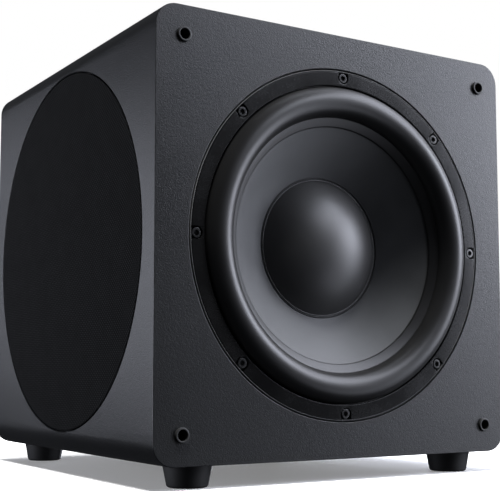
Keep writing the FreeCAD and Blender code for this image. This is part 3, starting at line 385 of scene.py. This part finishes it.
MATERIALS = {
    "cabinet_finish": finish(
        "cabinet_finish",
        grey(0.008, 0.1),
        grey(0.0105, 0.1),
        0.3,
        grain=1200,
        relief=2.4e-4,
        patch=5,
        spread=0.02,
    ),
    "raw_board": finish("raw_board", (0.32, 0.22, 0.13), (0.44, 0.31, 0.19), 0.8, grain=500, relief=1e-4),
    "felt": finish("felt", grey(0.3), grey(0.48), 0.95, grain=350, relief=4e-4, patch=60),
    "foot_rubber": finish("foot_rubber", grey(0.006), grey(0.009), 0.62, grain=1500, relief=3e-5),
    "socket_rubber": finish("socket_rubber", grey(0.016), grey(0.022), 0.5, grain=2500, relief=1e-5),
    "trim_rubber": finish("trim_rubber", grey(0.003), grey(0.005), 0.25, patch=20, Specular_IOR_Level=0.3),
    "roll_rubber": finish(
        "roll_rubber",
        grey(0.008),
        grey(0.01),
        0.38,
        relief=6e-6,
        patch=30,
        spread=0.015,
        Specular_IOR_Level=0.66,
    ),
    "boot_rubber": finish("boot_rubber", grey(0.012), grey(0.02), 0.6),
    "gasket_foam": finish("gasket_foam", grey(0.03), grey(0.06), 0.9, grain=1800, relief=1e-4),
    "cone_satin": finish("cone_satin", grey(0.045, 0.06), grey(0.056, 0.06), 0.42, patch=25),
    "cap_satin": finish(
        "cap_satin",
        grey(0.026),
        grey(0.032),
        0.42,
        relief=8e-6,
        patch=25,
        spread=0.03,
        Specular_IOR_Level=0.74,
    ),
    # pale grey of the cap's bead: a painted highlight, the bright line at the cap's edge
    "pale_glue_glint": finish("pale_glue_glint", grey(0.09), grey(0.12), 0.3, patch=40),
    "cast_frame": finish("cast_frame", grey(0.02), grey(0.03), 0.55, grain=1500, relief=5e-5),
    "black_steel": finish("black_steel", grey(0.085), grey(0.11), 0.27, metallic=1, grain=2500, relief=4e-6),
    "zinc_steel": finish("zinc_steel", (0.5, 0.5, 0.46), (0.66, 0.65, 0.6), 0.35, metallic=1, patch=80),
    "ferrite": finish("ferrite", grey(0.05), grey(0.08), 0.6, grain=1200, relief=4e-5),
    "former_foil": finish("former_foil", (0.45, 0.43, 0.4), (0.56, 0.54, 0.5), 0.3, metallic=1),
    "coil_wire": finish(
        "coil_wire",
        (0.55, 0.22, 0.1),
        (0.75, 0.36, 0.18),
        0.3,
        grain=600,
        relief=1e-4,
        metallic=1,
        stretch=(0.1, 4, 0.1),
    ),
    "spider_cloth": finish(
        "spider_cloth", (0.4, 0.27, 0.09), (0.56, 0.42, 0.17), 0.8, grain=1600, relief=1.5e-4
    ),
    "terminal_plastic": finish("terminal_plastic", grey(0.02), grey(0.03), 0.4),
    "lead_sheath": finish("lead_sheath", grey(0.02), grey(0.028), 0.45),
    "plate_paint": finish("plate_paint", grey(0.018), grey(0.024), 0.52, grain=1600, relief=8e-5, patch=8),
    "box_steel": finish("box_steel", grey(0.1), grey(0.14), 0.45, grain=800),
    "circuit_board": finish("circuit_board", (0.01, 0.1, 0.035), (0.02, 0.16, 0.06), 0.3, patch=150),
    "standoff_brass": finish("standoff_brass", (0.6, 0.42, 0.16), (0.72, 0.52, 0.24), 0.25, metallic=1),
    "transformer_wrap": finish(
        "transformer_wrap", (0.38, 0.3, 0.05), (0.5, 0.42, 0.1), 0.4, grain=250, relief=2e-4, patch=40
    ),
    "inlet_plastic": finish("inlet_plastic", grey(0.014), grey(0.02), 0.28, grain=1800, relief=6e-6),
    "jack_metal": finish("jack_metal", (0.75, 0.5, 0.16), (0.88, 0.62, 0.24), 0.2, metallic=1, relief=3e-6),
    "housing_plastic": finish("housing_plastic", grey(0.018), grey(0.026), 0.4),
    "knob_plastic": finish("knob_plastic", grey(0.018), grey(0.025), 0.42, grain=2200, relief=1.5e-5),
    "shaft_metal": finish("shaft_metal", grey(0.6), grey(0.72), 0.25, metallic=1, stretch=(1, 30, 1)),
    "switch_plastic": finish("switch_plastic", grey(0.016), grey(0.022), 0.3, grain=2000, relief=8e-6),
    "grille_plastic": finish("grille_plastic", grey(0.014), grey(0.02), 0.55),
    "grille_fabric": cloth(
        "grille_fabric", grey(0.0025), grey(0.021, 0.08), 0.0026, 3e-4, Specular_IOR_Level=0.12
    ),
    "print_pale": finish("print_pale", grey(0.55), grey(0.66), 0.6, grain=2500, relief=5e-6),
    "pin_nickel": finish("pin_nickel", (0.62, 0.6, 0.55), (0.74, 0.72, 0.67), 0.22, metallic=1, relief=3e-6),
    "insulator_red": finish("insulator_red", (0.42, 0.016, 0.012), (0.52, 0.026, 0.02), 0.3, relief=5e-6),
    "insulator_white": finish("insulator_white", grey(0.62), grey(0.72), 0.3, relief=5e-6),
    "studio_floor": finish(
        "studio_floor",
        grey(0.80),
        grey(0.82),
        0.75,
        grain=300,
        patch=1.5,
        Emission_Color=(1, 1, 1, 1),
        Emission_Strength=0.2,
    ),
}

for part in frame["record"]["subparts"]:
    data = frame["nodes"][part["node"]].data
    data.materials.clear()
    data.materials.append(MATERIALS[part["material_slot"]])


# --- Cabinet ---

HALF = 190.5
SHELL_DEPTH = 381.0
SHELL_CORNER = 20.0
OUTER_EASE = 0.8
FRONT_BOARD, REAR_BOARD = 31.0, 25.0
INSIDE_HALF = 165.5
REBATE_RADIUS, REBATE_DEPTH = 158.7, 11.0
CUTOUT_RADIUS = 141.0
AMP_OPENING, AMP_SEAT = 120.5, 4.5
AMP_CUTOUT = 106.0
AMP_CORNER = 8.0
GRILLE_RADIUS, GRILLE_DEPTH = 170.5, 8.0
RADIATOR_RADIUS, RADIATOR_DEPTH = 159.6, 13.0
RADIATOR_CUTOUT = 143.0
PAST_PANEL = 30.0  # a depth clear of a side panel's inner face
PEG_CIRCLE, PEG_HOLE, PEG_HOLE_END = 165.2, 2.7, 19.4
PEG_ANGLES = [TURN / 6 * i + TURN / 12 for i in range(6)]
SOCKET_PLACES = [(sx * 164.4, sy * 165.0) for sx in (-1, 1) for sy in (-1, 1)]
SOCKET_HOLE, SOCKET_HOLE_END = 5.9, 14.1


def square(half, corner, depth):
    return rectangle(half, half, corner, depth, straight=44, bend=9)


def cabinet_shell():
    """The glued and painted box, with the seats of the driver, the side units and the amplifier."""
    outline = square(HALF, SHELL_CORNER, 0)
    ease, soft = OUTER_EASE, OUTER_EASE * 0.28
    rings = [
        round_like(outline, CUTOUT_RADIUS, FRONT_BOARD),
        round_like(outline, CUTOUT_RADIUS, REBATE_DEPTH),
        round_like(outline, REBATE_RADIUS, REBATE_DEPTH),
        round_like(outline, REBATE_RADIUS, 0.7),
        round_like(outline, REBATE_RADIUS + 0.2, 0.2),
        round_like(outline, REBATE_RADIUS + 0.7, 0),
        square(HALF - ease, SHELL_CORNER - ease, 0),
        square(HALF - soft, SHELL_CORNER - soft, soft),
        square(HALF, SHELL_CORNER, ease),
        square(HALF, SHELL_CORNER, SHELL_DEPTH - ease),
        square(HALF - soft, SHELL_CORNER - soft, SHELL_DEPTH - soft),
        square(HALF - ease, SHELL_CORNER - ease, SHELL_DEPTH),
        square(AMP_OPENING + 0.6, AMP_CORNER + 0.6, SHELL_DEPTH),
        square(AMP_OPENING, AMP_CORNER, SHELL_DEPTH - 0.6),
        square(AMP_OPENING, AMP_CORNER, SHELL_DEPTH - AMP_SEAT),
        square(AMP_CUTOUT, AMP_CORNER, SHELL_DEPTH - AMP_SEAT),
        square(AMP_CUTOUT, AMP_CORNER, SHELL_DEPTH - REAR_BOARD),
        square(INSIDE_HALF, 1, SHELL_DEPTH - REAR_BOARD),
        square(INSIDE_HALF, 1, FRONT_BOARD),
    ]
    bm = bmesh.new()
    add_loft(bm, rings, FRONT_SEAT)
    shell = new_object("cabinet_shell", bm)
    recess = [
        (0, -2),
        (GRILLE_RADIUS + 2.7, -2),
        (GRILLE_RADIUS, 0.7),
        (GRILLE_RADIUS, GRILLE_DEPTH),
        (RADIATOR_RADIUS, GRILLE_DEPTH),
        (RADIATOR_RADIUS, RADIATOR_DEPTH),
        (RADIATOR_CUTOUT, RADIATOR_DEPTH),
        (RADIATOR_CUTOUT, PAST_PANEL),
        (0, PAST_PANEL),
    ]
    bm = bmesh.new()
    for place in SIDE_SEATS.values():
        add_lathe(bm, recess, place)
    for x, y in SOCKET_PLACES:
        add_plug(bm, SOCKET_HOLE, -1, SOCKET_HOLE_END, shifted(FRONT_SEAT, x, y), COARSE)
    carve(shell, bm)
    bm = bmesh.new()
    for place in SIDE_SEATS.values():
        for angle in PEG_ANGLES:
            at = shifted(place, PEG_CIRCLE * math.cos(angle), PEG_CIRCLE * math.sin(angle))
            add_plug(bm, PEG_HOLE, GRILLE_DEPTH - 1, PEG_HOLE_END, at, COARSE // 2)
    carve(shell, bm)
    panels = [side + "_panel" for side in ("top", "bottom", "left", "right", "rear")]
    dress(shell, "cabinet_finish", "cabinet", ["front_baffle", *panels], weighted=True)


def peg_sockets():
    profile = eased(
        [
            (0, 12),
            (4.6, 12),
            (4.6, -2.3, 0.5),
            (6.4, -2.3, 0.9),
            (6.4, 0),
            (5.8, 0),
            (5.8, 14),
            (0, 14),
        ]
    )
    bm = bmesh.new()
    for x, y in SOCKET_PLACES:
        add_lathe(bm, profile, shifted(FRONT_SEAT, x, y), COARSE)
    dress(new_object("peg_sockets", bm), "socket_rubber", "cabinet", ["grille_sockets"])


def feet():
    """Truncated cones, each with a well for its screw."""
    profile = eased(
        [(2.6, 10), (6, 10), (6, 0, 0.8), (17.3, 0, 2.4), (21.1, 19, 0.5), (2.6, 19)],
        steps=5,
    )
    for side in ("front_left", "front_right", "rear_left", "rear_right"):
        low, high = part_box("foot_" + side)
        middle = (low + high) / 2 * 1000
        place = shifted(FLOOR_SEAT, middle.x, middle.y)
        replaced = ["foot_" + side]
        lathe("rubber_" + side + "_foot", profile, place, "foot_rubber", "cabinet", replaced, steps=96)


cabinet_shell()
peg_sockets()
feet()


# --- Driver ---

SCREW_CIRCLE = 151.3
SCREW_ANGLES = [TURN / 8 * i for i in range(8)]
NOTCH = 5.3
TRIM_OUTER, TRIM_INNER, TRIM_BACK = 156.2, 143.6, 5.5
# radii of a pale ring whose grey is a painted highlight along the trim ring's edge
TRIM_GLINT_RADII = (156.7, 157.2)
ROLL_OUTER, ROLL_INNER, ROLL_CREST = 142.8, 115.3, -8.5
CAP_RADIUS, CAP_EDGE, CAP_CREST = 62.5, 38.4, 14.2


def trim_outline(inset):
    """The outer line of the trim ring: a circle with eight round-ended notches, drawn smaller by inset."""
    outer = TRIM_OUTER - inset
    notch = NOTCH + inset
    half_angle = math.asin(notch / outer)
    plain = TURN / 8 - 2 * half_angle
    plain_steps, notch_steps = 22, 12
    ring = []
    for centre in SCREW_ANGLES:
        start = centre - TURN / 8 + half_angle
        for i in range(plain_steps + 1):
            a = start + plain * i / plain_steps
            ring.append((outer * math.cos(a), outer * math.sin(a)))
        cosine, sine = math.cos(centre), math.sin(centre)
        for i in range(notch_steps + 1):
            a = -TURN / 4 - TURN / 2 * i / notch_steps
            x, y = SCREW_CIRCLE + notch * math.cos(a), notch * math.sin(a)
            ring.append((x * cosine - y * sine, x * sine + y * cosine))
    return ring


def trim_ring():
    """The moulded ring over the driver's flange."""
    full = [(x, y, 0) for x, y in trim_outline(0)]
    rings = [round_like(full, TRIM_INNER, TRIM_BACK)]
    for outward, depth in ((0, 0.8), (0.1, 0.3), (0.4, 0.06), (0.9, 0)):
        rings.append(round_like(full, TRIM_INNER + outward, depth))
    for inset, depth in ((0.55, 0), (0.2, 0.12), (0.05, 0.3), (0, 0.6), (0, TRIM_BACK)):
        rings.append([(x, y, depth) for x, y in trim_outline(inset)])
    bm = bmesh.new()
    add_loft(bm, rings, FRONT_SEAT)
    ring = new_object("trim_ring", bm)
    dress(ring, "trim_rubber", "cabinet", ["woofer_trim_ring"], angle=40, weighted=True)


def trim_glint_ring():
    """A thin pale ring turned forward round the trim ring's outer edge; its pale grey is a painted
    highlight, the light line along that edge.
    """
    near, far = TRIM_GLINT_RADII
    profile = eased([(near, 0.1, 0.15), (far, 0.1, 0.25), (far, TRIM_BACK), (near, TRIM_BACK)])
    # the pale box_steel grey here is a painted highlight, not the ring's own colour
    lathe("trim_glint_ring", profile, FRONT_SEAT, "box_steel", "cabinet", [], steps=256)


def trim_screws():
    """Socket-head cap screws."""
    shank, head = 2.5, 4.25
    rings = [
        circle(shank, 35.5, COARSE),
        circle(shank, TRIM_BACK, COARSE),
        circle(head, TRIM_BACK, COARSE),
        circle(head, 0.85, COARSE),
        circle(4.17, 0.65, COARSE),
        circle(4.0, 0.52, COARSE),
        circle(3.85, 0.5, COARSE),
        polygon(6, 4.5, 0.5),
        polygon(6, 4.0, 0.8),
        polygon(6, 4.0, 3.1),
        circle(0, 3.7),
    ]
    bm = bmesh.new()
    for angle in SCREW_ANGLES:
        at = shifted(FRONT_SEAT, SCREW_CIRCLE * math.cos(angle), SCREW_CIRCLE * math.sin(angle))
        add_loft(bm, rings, at, loop=False)
    dress(new_object("trim_screws", bm), "black_steel", "cabinet", ["woofer_screws"], weighted=True)


def flexing(obj, place, edges):
    """Bakes the piece's placement into its mesh and, for each point, works out its share of the way between
    two radii; no point is moved. Edges are the radii, in millimetres, where it meets each of two bodies.
    """
    held, free = edges
    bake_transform(obj)
    back = place.inverted()
    for vertex in obj.data.vertices:
        x, y, _ = back @ vertex.co
        t = (math.hypot(x, y) - held) / (free - held)
        t = min(1.0, max(0.0, t))


def woofer_roll():
    """The rubber half roll: a land under the trim ring, the roll, and a land on the cone."""
    skin = 1.2
    middle = (ROLL_OUTER + ROLL_INNER) / 2
    front = bow((ROLL_OUTER, 4.0), (middle, ROLL_CREST), (ROLL_INNER, 5.2), 40)
    back = bow((ROLL_INNER + skin, 6.5), (middle, ROLL_CREST + skin), (ROLL_OUTER - skin, 5.5), 30)
    outer_land = [(145.6, 5.5), (145.6, 4.3), (143.1, 4.3)]
    inner_land = [(115.0, 5.5), (114.5, 5.75), (108.3, 9.15), (107.7, 9.6), (107.4, 10.2), (107.4, 11.0)]
    profile = outer_land + front + inner_land + [(115.5, 7.0)] + back
    replaced = ["woofer_surround"]
    roll = lathe("woofer_roll", profile, FRONT_SEAT, "roll_rubber", None, replaced, steps=256, angle=40)
    flexing(roll, FRONT_SEAT, (ROLL_OUTER, ROLL_INNER))


def woofer_cone():
    front = bow((115.5, 7.1), (81.0, 27.3), (38.0, 56.7), 30)
    back = bow((38.0, 59.1), (81.0, 29.7), (115.5, 9.5), 30)
    lathe("cone_body", front + back, FRONT_SEAT, "cone_satin", "cone_assembly", ["woofer_cone"])


def dust_cap():
    """A dome with a rolled rim, and a bead of glue inside the rim; the bead's pale grey is a painted
    highlight, the bright line along the cap's edge.
    """
    skin = 1.5
    rise = CAP_EDGE - CAP_CREST
    sphere = (CAP_RADIUS**2 + rise**2) / (2 * rise)
    half = CAP_RADIUS / 2
    via = (half, CAP_CREST + sphere - math.sqrt(sphere**2 - half**2))
    front = bow((0, CAP_CREST), via, (CAP_RADIUS, CAP_EDGE), 40)
    rim = [(62.9, 39.2), (64.0, 38.6), (64.5, 37.3), (64.8, 36.9), (65.2, 37.1), (65.5, 37.8), (62.4, 40.4)]
    back = [(r, d + skin) for r, d in reversed(front[:-1])]
    front[0], back[-1] = (0, CAP_CREST), (0, CAP_CREST + skin)
    bead = eased([(62.4, 39.0), (62.4, 37.8, 0.3), (63.1, 37.8, 0.3), (63.1, 39.0)])
    # the bead is real; its pale colour is a painted highlight along the cap's edge
    lathe("cap_bead_glint", bead, FRONT_SEAT, "pale_glue_glint", "cone_assembly", [])
    profile = front + rim + back
    lathe("cap_dome", profile, FRONT_SEAT, "cap_satin", "cone_assembly", ["dust_cap"], angle=50)


def centring_spider():
    """The corrugated cloth disc, which flexes between the frame and the voice coil."""
    inner, outer, rim = 37.6, 94.0, 98.0
    depth, swing, waves = 80.0, 1.8, 6
    thick, count = 0.8, 84
    line = []
    for i in range(count + 1):
        share = i / count
        line.append((inner + (outer - inner) * share, depth - swing * math.sin(TURN * waves * share)))
    line.append((rim, depth))
    profile = line + [(r, d + thick) for r, d in reversed(line)]
    spider = lathe("centring_spider", profile, FRONT_SEAT, "spider_cloth", None, ["woofer_spider"], angle=60)
    flexing(spider, FRONT_SEAT, (outer, inner))


trim_ring()
trim_glint_ring()
trim_screws()
woofer_roll()
woofer_cone()
dust_cap()
centring_spider()


# --- Sides ---

CLOTH_RADIUS = 169.5
CLOTH_EDGE = 6.4  # how far the cloth is turned down round the frame
CLOTH_BEND = 1.6


def grille_cloth(side):
    """Cloth stretched over its frame and turned down round the edge."""
    thick = 0.7
    outside = eased([(0, 0), (CLOTH_RADIUS, 0, CLOTH_BEND), (CLOTH_RADIUS, CLOTH_EDGE)], steps=6)
    inner = CLOTH_RADIUS - thick
    inside = eased([(inner, CLOTH_EDGE), (inner, thick, CLOTH_BEND - thick), (0, thick)], steps=6)
    profile, place, replaced = outside + inside, SIDE_SEATS[side], [side + "_grille_cloth"]
    piece = lathe(side + "_cloth", profile, place, "grille_fabric", side + "_grille", replaced)


def radiator_roll(side):
    """The half roll that hangs inward round the passive radiator."""
    skin = 1.2
    inner, outer, ledge, depth = 109.3, 133.3, 26.0, 38.0
    outer_land, inner_land = 139.4, 101.0
    above = ledge - skin
    middle = (inner + outer) / 2
    front = bow((outer - skin, above), (middle, depth - skin), (inner + skin, above), 24)
    back = bow((inner, ledge), (middle, depth), (outer, ledge), 24)
    profile = [(outer_land, ledge), (outer_land, above)] + front + [(inner_land, above), (inner_land, ledge)]
    profile += back
    place = SIDE_SEATS[side]
    replaced = [side + "_radiator_surround"]
    roll = lathe(side + "_radiator_roll", profile, place, "roll_rubber", None, replaced, angle=40)
    flexing(roll, place, (outer, inner))


for side_name in SIDE_SEATS:
    grille_cloth(side_name)
    radiator_roll(side_name)


# --- Amplifier plate and controls ---

LEVEL = (-78.0, 74.0)
CROSSOVER = (-38.0, 74.0)
PHASE = (2.0, 74.0)
JACKS = {"white": (44.0, 74.0), "red": (70.0, 74.0)}
INLET = (-70.0, -78.0)
ROCKER = (-20.0, -78.0)
AMP_SCREW_PLACES = [(sx * 113.0, sy * 113.0) for sx in (-1, 0, 1) for sy in (-1, 0, 1) if sx or sy]
KNOB_NEAR, KNOB_FAR, KNOB_RADIUS = 0.6, 8.5, 8.0
FLUTES = 24
KNOB_STEPS = 6 * FLUTES
TICK_START, TICK_HALF, TICK_HIGH = 11, 0.35, 0.06


def rear_plate():
    half, thick = 120, 3
    rings = [
        square(half, AMP_CORNER, -thick),
        square(half, AMP_CORNER, -0.5),
        square(half - 0.15, AMP_CORNER - 0.15, -0.15),
        square(half - 0.5, AMP_CORNER - 0.5, 0),
    ]
    bm = bmesh.new()
    add_loft(bm, rings, REAR_SEAT, loop=False)
    plate = new_object("rear_plate", bm)
    bm = bmesh.new()
    for radius, places in ((2.1, AMP_SCREW_PLACES), (3.7, (LEVEL, CROSSOVER)), (4.25, JACKS.values())):
        for x, y in places:
            add_plug(bm, radius, -4, 1, shifted(REAR_SEAT, x, y), COARSE)
    for (x, y), width, height in ((PHASE, 12, 4.4), (INLET, 27.8, 23.2), (ROCKER, 19.2, 13.2)):
        hole = [rectangle(width / 2, height / 2, 0.3, depth) for depth in (-4, 1)]
        add_loft(bm, hole, shifted(REAR_SEAT, x, y), loop=False)
    carve(plate, bm)
    dress(plate, "plate_paint", "cabinet", ["amp_plate"], weighted=True)


def rear_screws():
    """Pan heads with a hexagon recess."""
    shank, head = 2.0, 4.0
    rings = [
        circle(shank, -18, COARSE),
        circle(shank, 0, COARSE),
        circle(head, 0, COARSE),
        circle(head, 0.9, COARSE),
        circle(3.8, 1.6, COARSE),
        circle(3.3, 2.1, COARSE),
        circle(2.5, 2.4, COARSE),
        polygon(6, 2.9, 2.4),
        polygon(6, 2.5, 2.15),
        polygon(6, 2.5, 1.0),
        circle(0, 0.8),
    ]
    bm = bmesh.new()
    for x, y in AMP_SCREW_PLACES:
        add_loft(bm, rings, shifted(REAR_SEAT, x, y), loop=False)
    dress(new_object("rear_screws", bm), "black_steel", "cabinet", ["amp_screws"], weighted=True)


def fluted(radius, groove, depth):
    """A ring round a knob, with its grooves."""
    ring = []
    for i in range(KNOB_STEPS):
        a = TURN * i / KNOB_STEPS
        r = radius - groove * max(0.0, math.cos(FLUTES * a))
        ring.append((r * math.cos(a), r * math.sin(a), depth))
    return ring


def knob(name, place):
    """A fluted knob with a pale pointer in its dished end."""
    at = shifted(REAR_SEAT, *place)
    rings = [
        circle(3.0, KNOB_NEAR, KNOB_STEPS),
        fluted(7.7, 0.3, KNOB_NEAR),
        fluted(KNOB_RADIUS, 0.5, KNOB_NEAR + 0.4),
        fluted(KNOB_RADIUS, 0.5, KNOB_FAR - 1.4),
        fluted(7.6, 0.25, KNOB_FAR - 0.5),
        circle(7.1, KNOB_FAR - 0.1, KNOB_STEPS),
        circle(6.8, KNOB_FAR, KNOB_STEPS),
        circle(6.5, KNOB_FAR - 0.1, KNOB_STEPS),
        circle(6.2, KNOB_FAR - 0.6, KNOB_STEPS),
        circle(0, KNOB_FAR - 0.8),
    ]
    bm = bmesh.new()
    add_loft(bm, rings, at, loop=False)
    body = name + "_control"
    dress(new_object(name + "_grip", bm), "knob_plastic", body, [name + "_knob"], angle=40)
    bm = bmesh.new()
    add_block(bm, (-0.5, 1.8, KNOB_FAR - 0.8), (0.5, 6.0, KNOB_FAR - 0.35), at, 0.12)
    dress(new_object(name + "_pointer", bm), "print_pale", body)


def dial_marks():
    """Printed ticks round the two knobs and beside the slide switch."""
    bm = bmesh.new()
    for place in (LEVEL, CROSSOVER):
        for i in range(11):
            angle = math.radians(90 + 150 - 30 * i)
            end = TICK_START + (3.2 if i in (0, 5, 10) else 2.0)
            at = shifted(REAR_SEAT, *place) @ Matrix.Rotation(angle, 4, "Z")
            add_block(bm, (TICK_START, -TICK_HALF, -0.01), (end, TICK_HALF, TICK_HIGH), at, 0.02)
    for offset in (-2.5, 2.5):
        at = shifted(REAR_SEAT, PHASE[0] + offset, PHASE[1] + 7.5)
        add_block(bm, (-TICK_HALF, -1.2, -0.01), (TICK_HALF, 1.2, TICK_HIGH), at, 0.02)
    dress(new_object("dial_marks", bm), "print_pale", "cabinet")


def line_jacks():
    """Phono jacks, each a nut, a sleeve with a wider back, and an insulator in its mouth."""
    sleeve, bore, inside = 4.15, 3.3, 6.0
    rings = [
        circle(sleeve, 0, COARSE),
        polygon(6, 10.6, 0),
        polygon(6, 10.6, 0.7),
        polygon(6, 10.0, 1.0),
        circle(sleeve, 1.0, COARSE),
        circle(sleeve, 8.1, COARSE),
        circle(3.8, 8.5, COARSE),
        circle(bore + 0.05, 8.5, COARSE),
        circle(bore, 8.3, COARSE),
        circle(bore, -2.0, COARSE),
        circle(inside, -3.0, COARSE),
        circle(inside, -12.0, COARSE),
        circle(sleeve, -12.0, COARSE),
        circle(sleeve, -3.0, COARSE),
    ]
    bm = bmesh.new()
    for x, y in JACKS.values():
        add_loft(bm, rings, shifted(REAR_SEAT, x, y))
    dress(new_object("jack_sleeves", bm), "jack_metal", "cabinet", ["line_jacks"], weighted=True)
    for colour, (x, y) in JACKS.items():
        at = shifted(REAR_SEAT, x, y)
        profile = eased([(1.7, -2), (1.7, 7.9, 0.3), (bore, 7.9, 0.2), (bore, -2)])
        lathe("jack_insulator_" + colour, profile, at, "insulator_" + colour, "cabinet", steps=COARSE)


def mains_inlet():
    """A three-pin appliance inlet, with its pins in the mouth."""
    at = shifted(REAR_SEAT, *INLET)
    rings = [
        rectangle(13.8, 11.5, 0.6, -21),
        rectangle(13.8, 11.5, 0.6, 0),
        rectangle(15.5, 13.5, 3, 0),
        rectangle(15.5, 13.5, 3, 1.9),
        rectangle(15.3, 13.3, 2.8, 2.35),
        rectangle(14.9, 12.9, 2.5, 2.5),
        rectangle(12.7, 8.8, 3.2, 2.5),
        rectangle(12.3, 8.4, 3, 2.2),
        rectangle(12.2, 8.3, 3, 1.8),
        rectangle(12.2, 8.3, 3, -15.5),
    ]
    bm = bmesh.new()
    add_loft(bm, rings, at, loop=False)
    dress(new_object("inlet_shell", bm), "inlet_plastic", "cabinet", ["mains_inlet"], weighted=True)
    bm = bmesh.new()
    for x, y in ((-7.0, -2.0), (0.0, 2.0), (7.0, -2.0)):
        add_block(bm, (x - 1, y - 2, -15.6), (x + 1, y + 2, -5.3), at, 0.5)
    dress(new_object("inlet_pins", bm), "pin_nickel", "cabinet")


def soften(node, width):
    """Rounds the edges of a CAD node by a width in millimetres."""
    weld = node.modifiers.new("weld", "WELD")
    weld.merge_threshold = 1e-6
    bevel = node.modifiers.new("bevel", "BEVEL")
    bevel.width = width / 1000
    bevel.segments = 2
    bevel.limit_method = "ANGLE"
    bevel.angle_limit = math.radians(40)
    bevel.use_clamp_overlap = False


rear_plate()
rear_screws()
knob("level", LEVEL)
knob("crossover", CROSSOVER)
dial_marks()
line_jacks()
mains_inlet()

for node_name, width in {"control_housings": 0.3, "phase_slider": 0.3, "power_rocker": 0.35}.items():
    soften(frame["nodes"][node_name], width)


# --- Floor, lights and camera ---


def studio_floor():
    bm = bmesh.new()
    bmesh.ops.create_grid(bm, x_segments=1, y_segments=1, size=40)
    floor = bpy.data.objects.new("studio_floor", bpy.data.meshes.new("studio_floor"))
    bm.to_mesh(floor.data)
    bm.free()
    bpy.context.scene.collection.objects.link(floor)
    floor.data.materials.append(MATERIALS["studio_floor"])
    # the lowest light stands below its level, like a lamp beside a raised table
    floor.visible_shadow = False
    floor.visible_glossy = False
    floor.visible_diffuse = False


STUDIO_TINT = (0.95, 0.985, 1.12)
# name: place in metres, width and height in metres, power in watts
SOFT_LIGHTS = {
    "front_high": ((0.8, -1.25, 1.2), (0.8, 0.6), 7.0),
    "right_low": ((1.55, -0.95, 0.1), (0.9, 0.6), 5.7),
    "right": ((1.5, -0.9, 0.7), (0.9, 0.7), 17.0),
    "right_high": ((1.1, -0.6, 1.3), (0.9, 0.7), 9.0),
    "overhead": ((0.5, -0.2, 1.7), (0.9, 0.9), 3.5),
    "under": ((1.1, -1.1, -0.5), (1.2, 0.6), 2.4),
    "left": ((-1.5, 0.5, 0.15), (0.6, 0.6), 9.5),
    "left_behind": ((-1.0, 1.2, 0.35), (0.8, 0.6), 2.8),
    "behind": ((1.3, 1.5, 0.1), (0.8, 0.6), 30.0),
}


def facing(direction):
    return direction.to_track_quat("-Z", "Y").to_euler()


def soft_light(name, place, size, power):
    """A rectangle of light that faces the driver's side of the cabinet."""
    data = bpy.data.lights.new(name, "AREA")
    data.shape = "RECTANGLE"
    data.size, data.size_y = size
    data.energy = power
    data.color = STUDIO_TINT
    lamp = bpy.data.objects.new(name, data)
    lamp.location = place
    lamp.rotation_euler = facing(Vector((0, FACE_Y, MIDDLE_Z)) - lamp.location)
    lamp.visible_camera = False
    bpy.context.scene.collection.objects.link(lamp)


def sky_light(strength, spread_degrees, place):
    """A wide, even light from above, which leaves the soft shadow on the floor."""
    data = bpy.data.lights.new("sky", "SUN")
    data.energy = strength
    data.angle = math.radians(spread_degrees)
    lamp = bpy.data.objects.new("sky", data)
    lamp.rotation_euler = facing(-Vector(place))
    lamp.visible_glossy = False
    bpy.context.scene.collection.objects.link(lamp)


def studio_world(seen, lighting):
    """White as the camera sees it, and a dimmer fill light on the object."""
    world = bpy.data.worlds.new("studio")
    bpy.context.scene.world = world
    world.use_nodes = True
    tree = world.node_tree
    dim = tree.nodes["Background"]
    dim.inputs["Color"].default_value = (*STUDIO_TINT, 1)
    dim.inputs["Strength"].default_value = lighting
    white = joined(tree, "ShaderNodeBackground", {"Color": (1, 1, 1, 1), "Strength": seen})
    path = tree.nodes.new("ShaderNodeLightPath")
    mix = tree.nodes.new("ShaderNodeMixShader")
    tree.links.new(path.outputs["Is Camera Ray"], mix.inputs[0])
    tree.links.new(dim.outputs[0], mix.inputs[1])
    tree.links.new(white.outputs[0], mix.inputs[2])
    tree.links.new(mix.outputs[0], tree.nodes["World Output"].inputs["Surface"])


def camera():
    data = bpy.data.cameras.new("camera")
    data.sensor_width = 36
    data.lens = 77.78
    data.shift_y = 0.05
    data.clip_end = 200
    eye = bpy.data.objects.new("camera", data)
    eye.location = (-0.579, -0.9631, 0.0964)
    eye.rotation_euler = (math.radians(95.286), 0, math.radians(-31.808))
    bpy.context.scene.collection.objects.link(eye)
    bpy.context.scene.camera = eye


studio_floor()
for light_name, (where, extent, watts) in SOFT_LIGHTS.items():
    soft_light(light_name, where, extent, watts)
sky_light(strength=9, spread_degrees=24, place=(-0.06, -0.13, 1.0))
studio_world(seen=1.0, lighting=0.03)
camera()
bpy.context.scene.view_settings.view_transform = "Standard"
